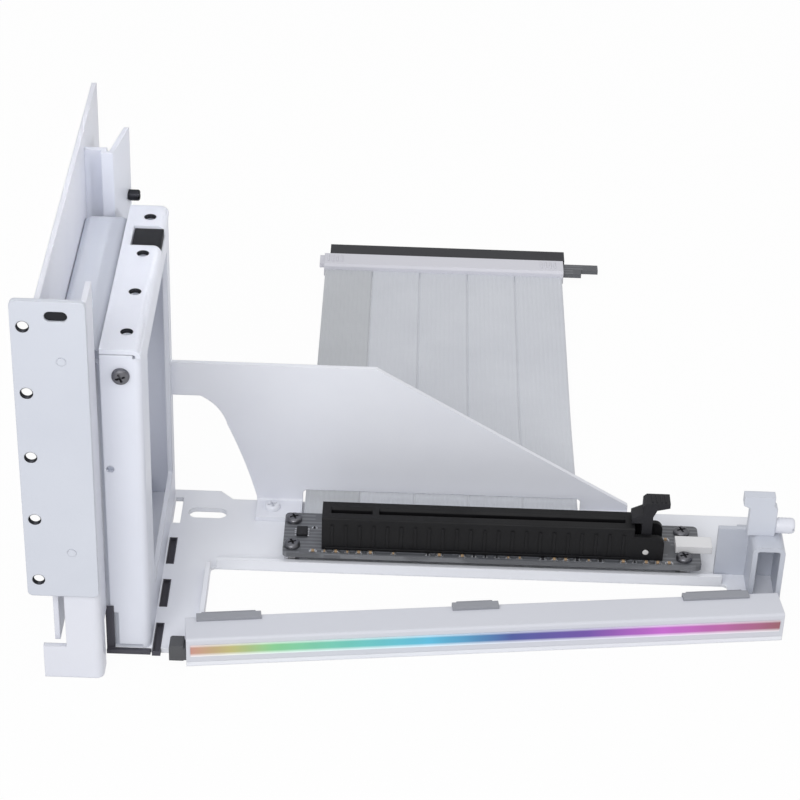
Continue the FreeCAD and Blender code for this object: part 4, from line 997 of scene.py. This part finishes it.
def studio_light():
    """An even pale sky, a large lamp from the front left, one above and a small one on the rear plate."""
    world = bpy.data.worlds.new("studio")
    world.use_nodes = True
    graph = Graph(world.node_tree)
    world.node_tree.nodes.clear()
    rays = graph.add("ShaderNodeLightPath").outputs
    dim = graph.add("ShaderNodeBackground", {"Color": WHITE, "Strength": SKY_STRENGTH})
    white = graph.add("ShaderNodeBackground", {"Color": WHITE, "Strength": 1.0})
    mixed = graph.add("ShaderNodeMixShader", {0: rays["Is Camera Ray"], 1: dim.outputs[0],
                                              2: white.outputs[0]})
    output = graph.add("ShaderNodeOutputWorld")
    graph.put(output.inputs["Surface"], mixed.outputs[0])
    bpy.context.scene.world = world
    soft_lamp("key_lamp", (-0.25, -1.1, 0.9), MOUNT_MIDDLE, size=0.8, power=9.6)
    soft_lamp("top_lamp", (0.1, 0.2, 1.4), MOUNT_MIDDLE, size=0.9, power=2.4)
    soft_lamp("rear_plate_lamp", (0.5, -0.25, 0.42), (-0.024, 0.02, 0.112),
              size=0.06, power=0.012, spread=14.0)


def photo_camera():
    """The camera where the photograph was taken from, tilted down and rolled a little."""
    ahead = Vector((0, math.cos(CAMERA_PITCH), -math.sin(CAMERA_PITCH)))
    level_up = Vector((0, math.sin(CAMERA_PITCH), math.cos(CAMERA_PITCH)))
    right = X_AXIS * math.cos(CAMERA_ROLL) + level_up * math.sin(CAMERA_ROLL)
    up = right.cross(ahead)
    turn = Matrix((right, up, -ahead)).transposed()
    camera = bpy.data.cameras.new("photo_camera")
    camera.sensor_width = SENSOR_WIDTH
    camera.lens = CAMERA_LENS
    camera.clip_start = 0.05
    camera.clip_end = 20.0
    holder = bpy.data.objects.new("photo_camera", camera)
    holder.matrix_world = Matrix.Translation(CAMERA_PLACE) @ turn.to_4x4()
    bpy.context.scene.collection.objects.link(holder)
    bpy.context.scene.camera = holder


photo_camera()
route = cable_route()
for strand_number in range(STRAND_COUNT):
    cable_strand(strand_number, route)
dress_nodes()
screw_set("board_screws", (2, 2, 0), Z_AXIS, 1.6, finish=GREY_STEEL)
# The brace and end screw heads take the lighter copy of the white coat, painted light.
screw_set("brace_screws", (2, 1, 0), Z_AXIS, 3.0, finish=BRACE_PAINT_LIT)
screw_set("end_screws", (1, 2, 0), Z_AXIS, 3.0, finish=BRACE_PAINT_LIT)
screw_set("frame_screw", (1, 0, 1), -Y_AXIS, 4.0, finish=GREY_STEEL)
screw_set("carriage_rivets", (0, 3, 1), -X_AXIS, 4.0, recess=False)
knurled_grip("frame_thumb_grip", "frame_thumb_screw", 1.7, 3.4, DARK_STEEL)
knurled_grip("support_thumb_grip", "support_screw", 2.4, 5.6, PAINT)
hole_threads()
board_parts()
board_chips()
slot_details()
latch_grip()
plug_details()
frame_buffers()
studio_floor()
studio_light()
bpy.context.scene.view_settings.view_transform = "Standard"
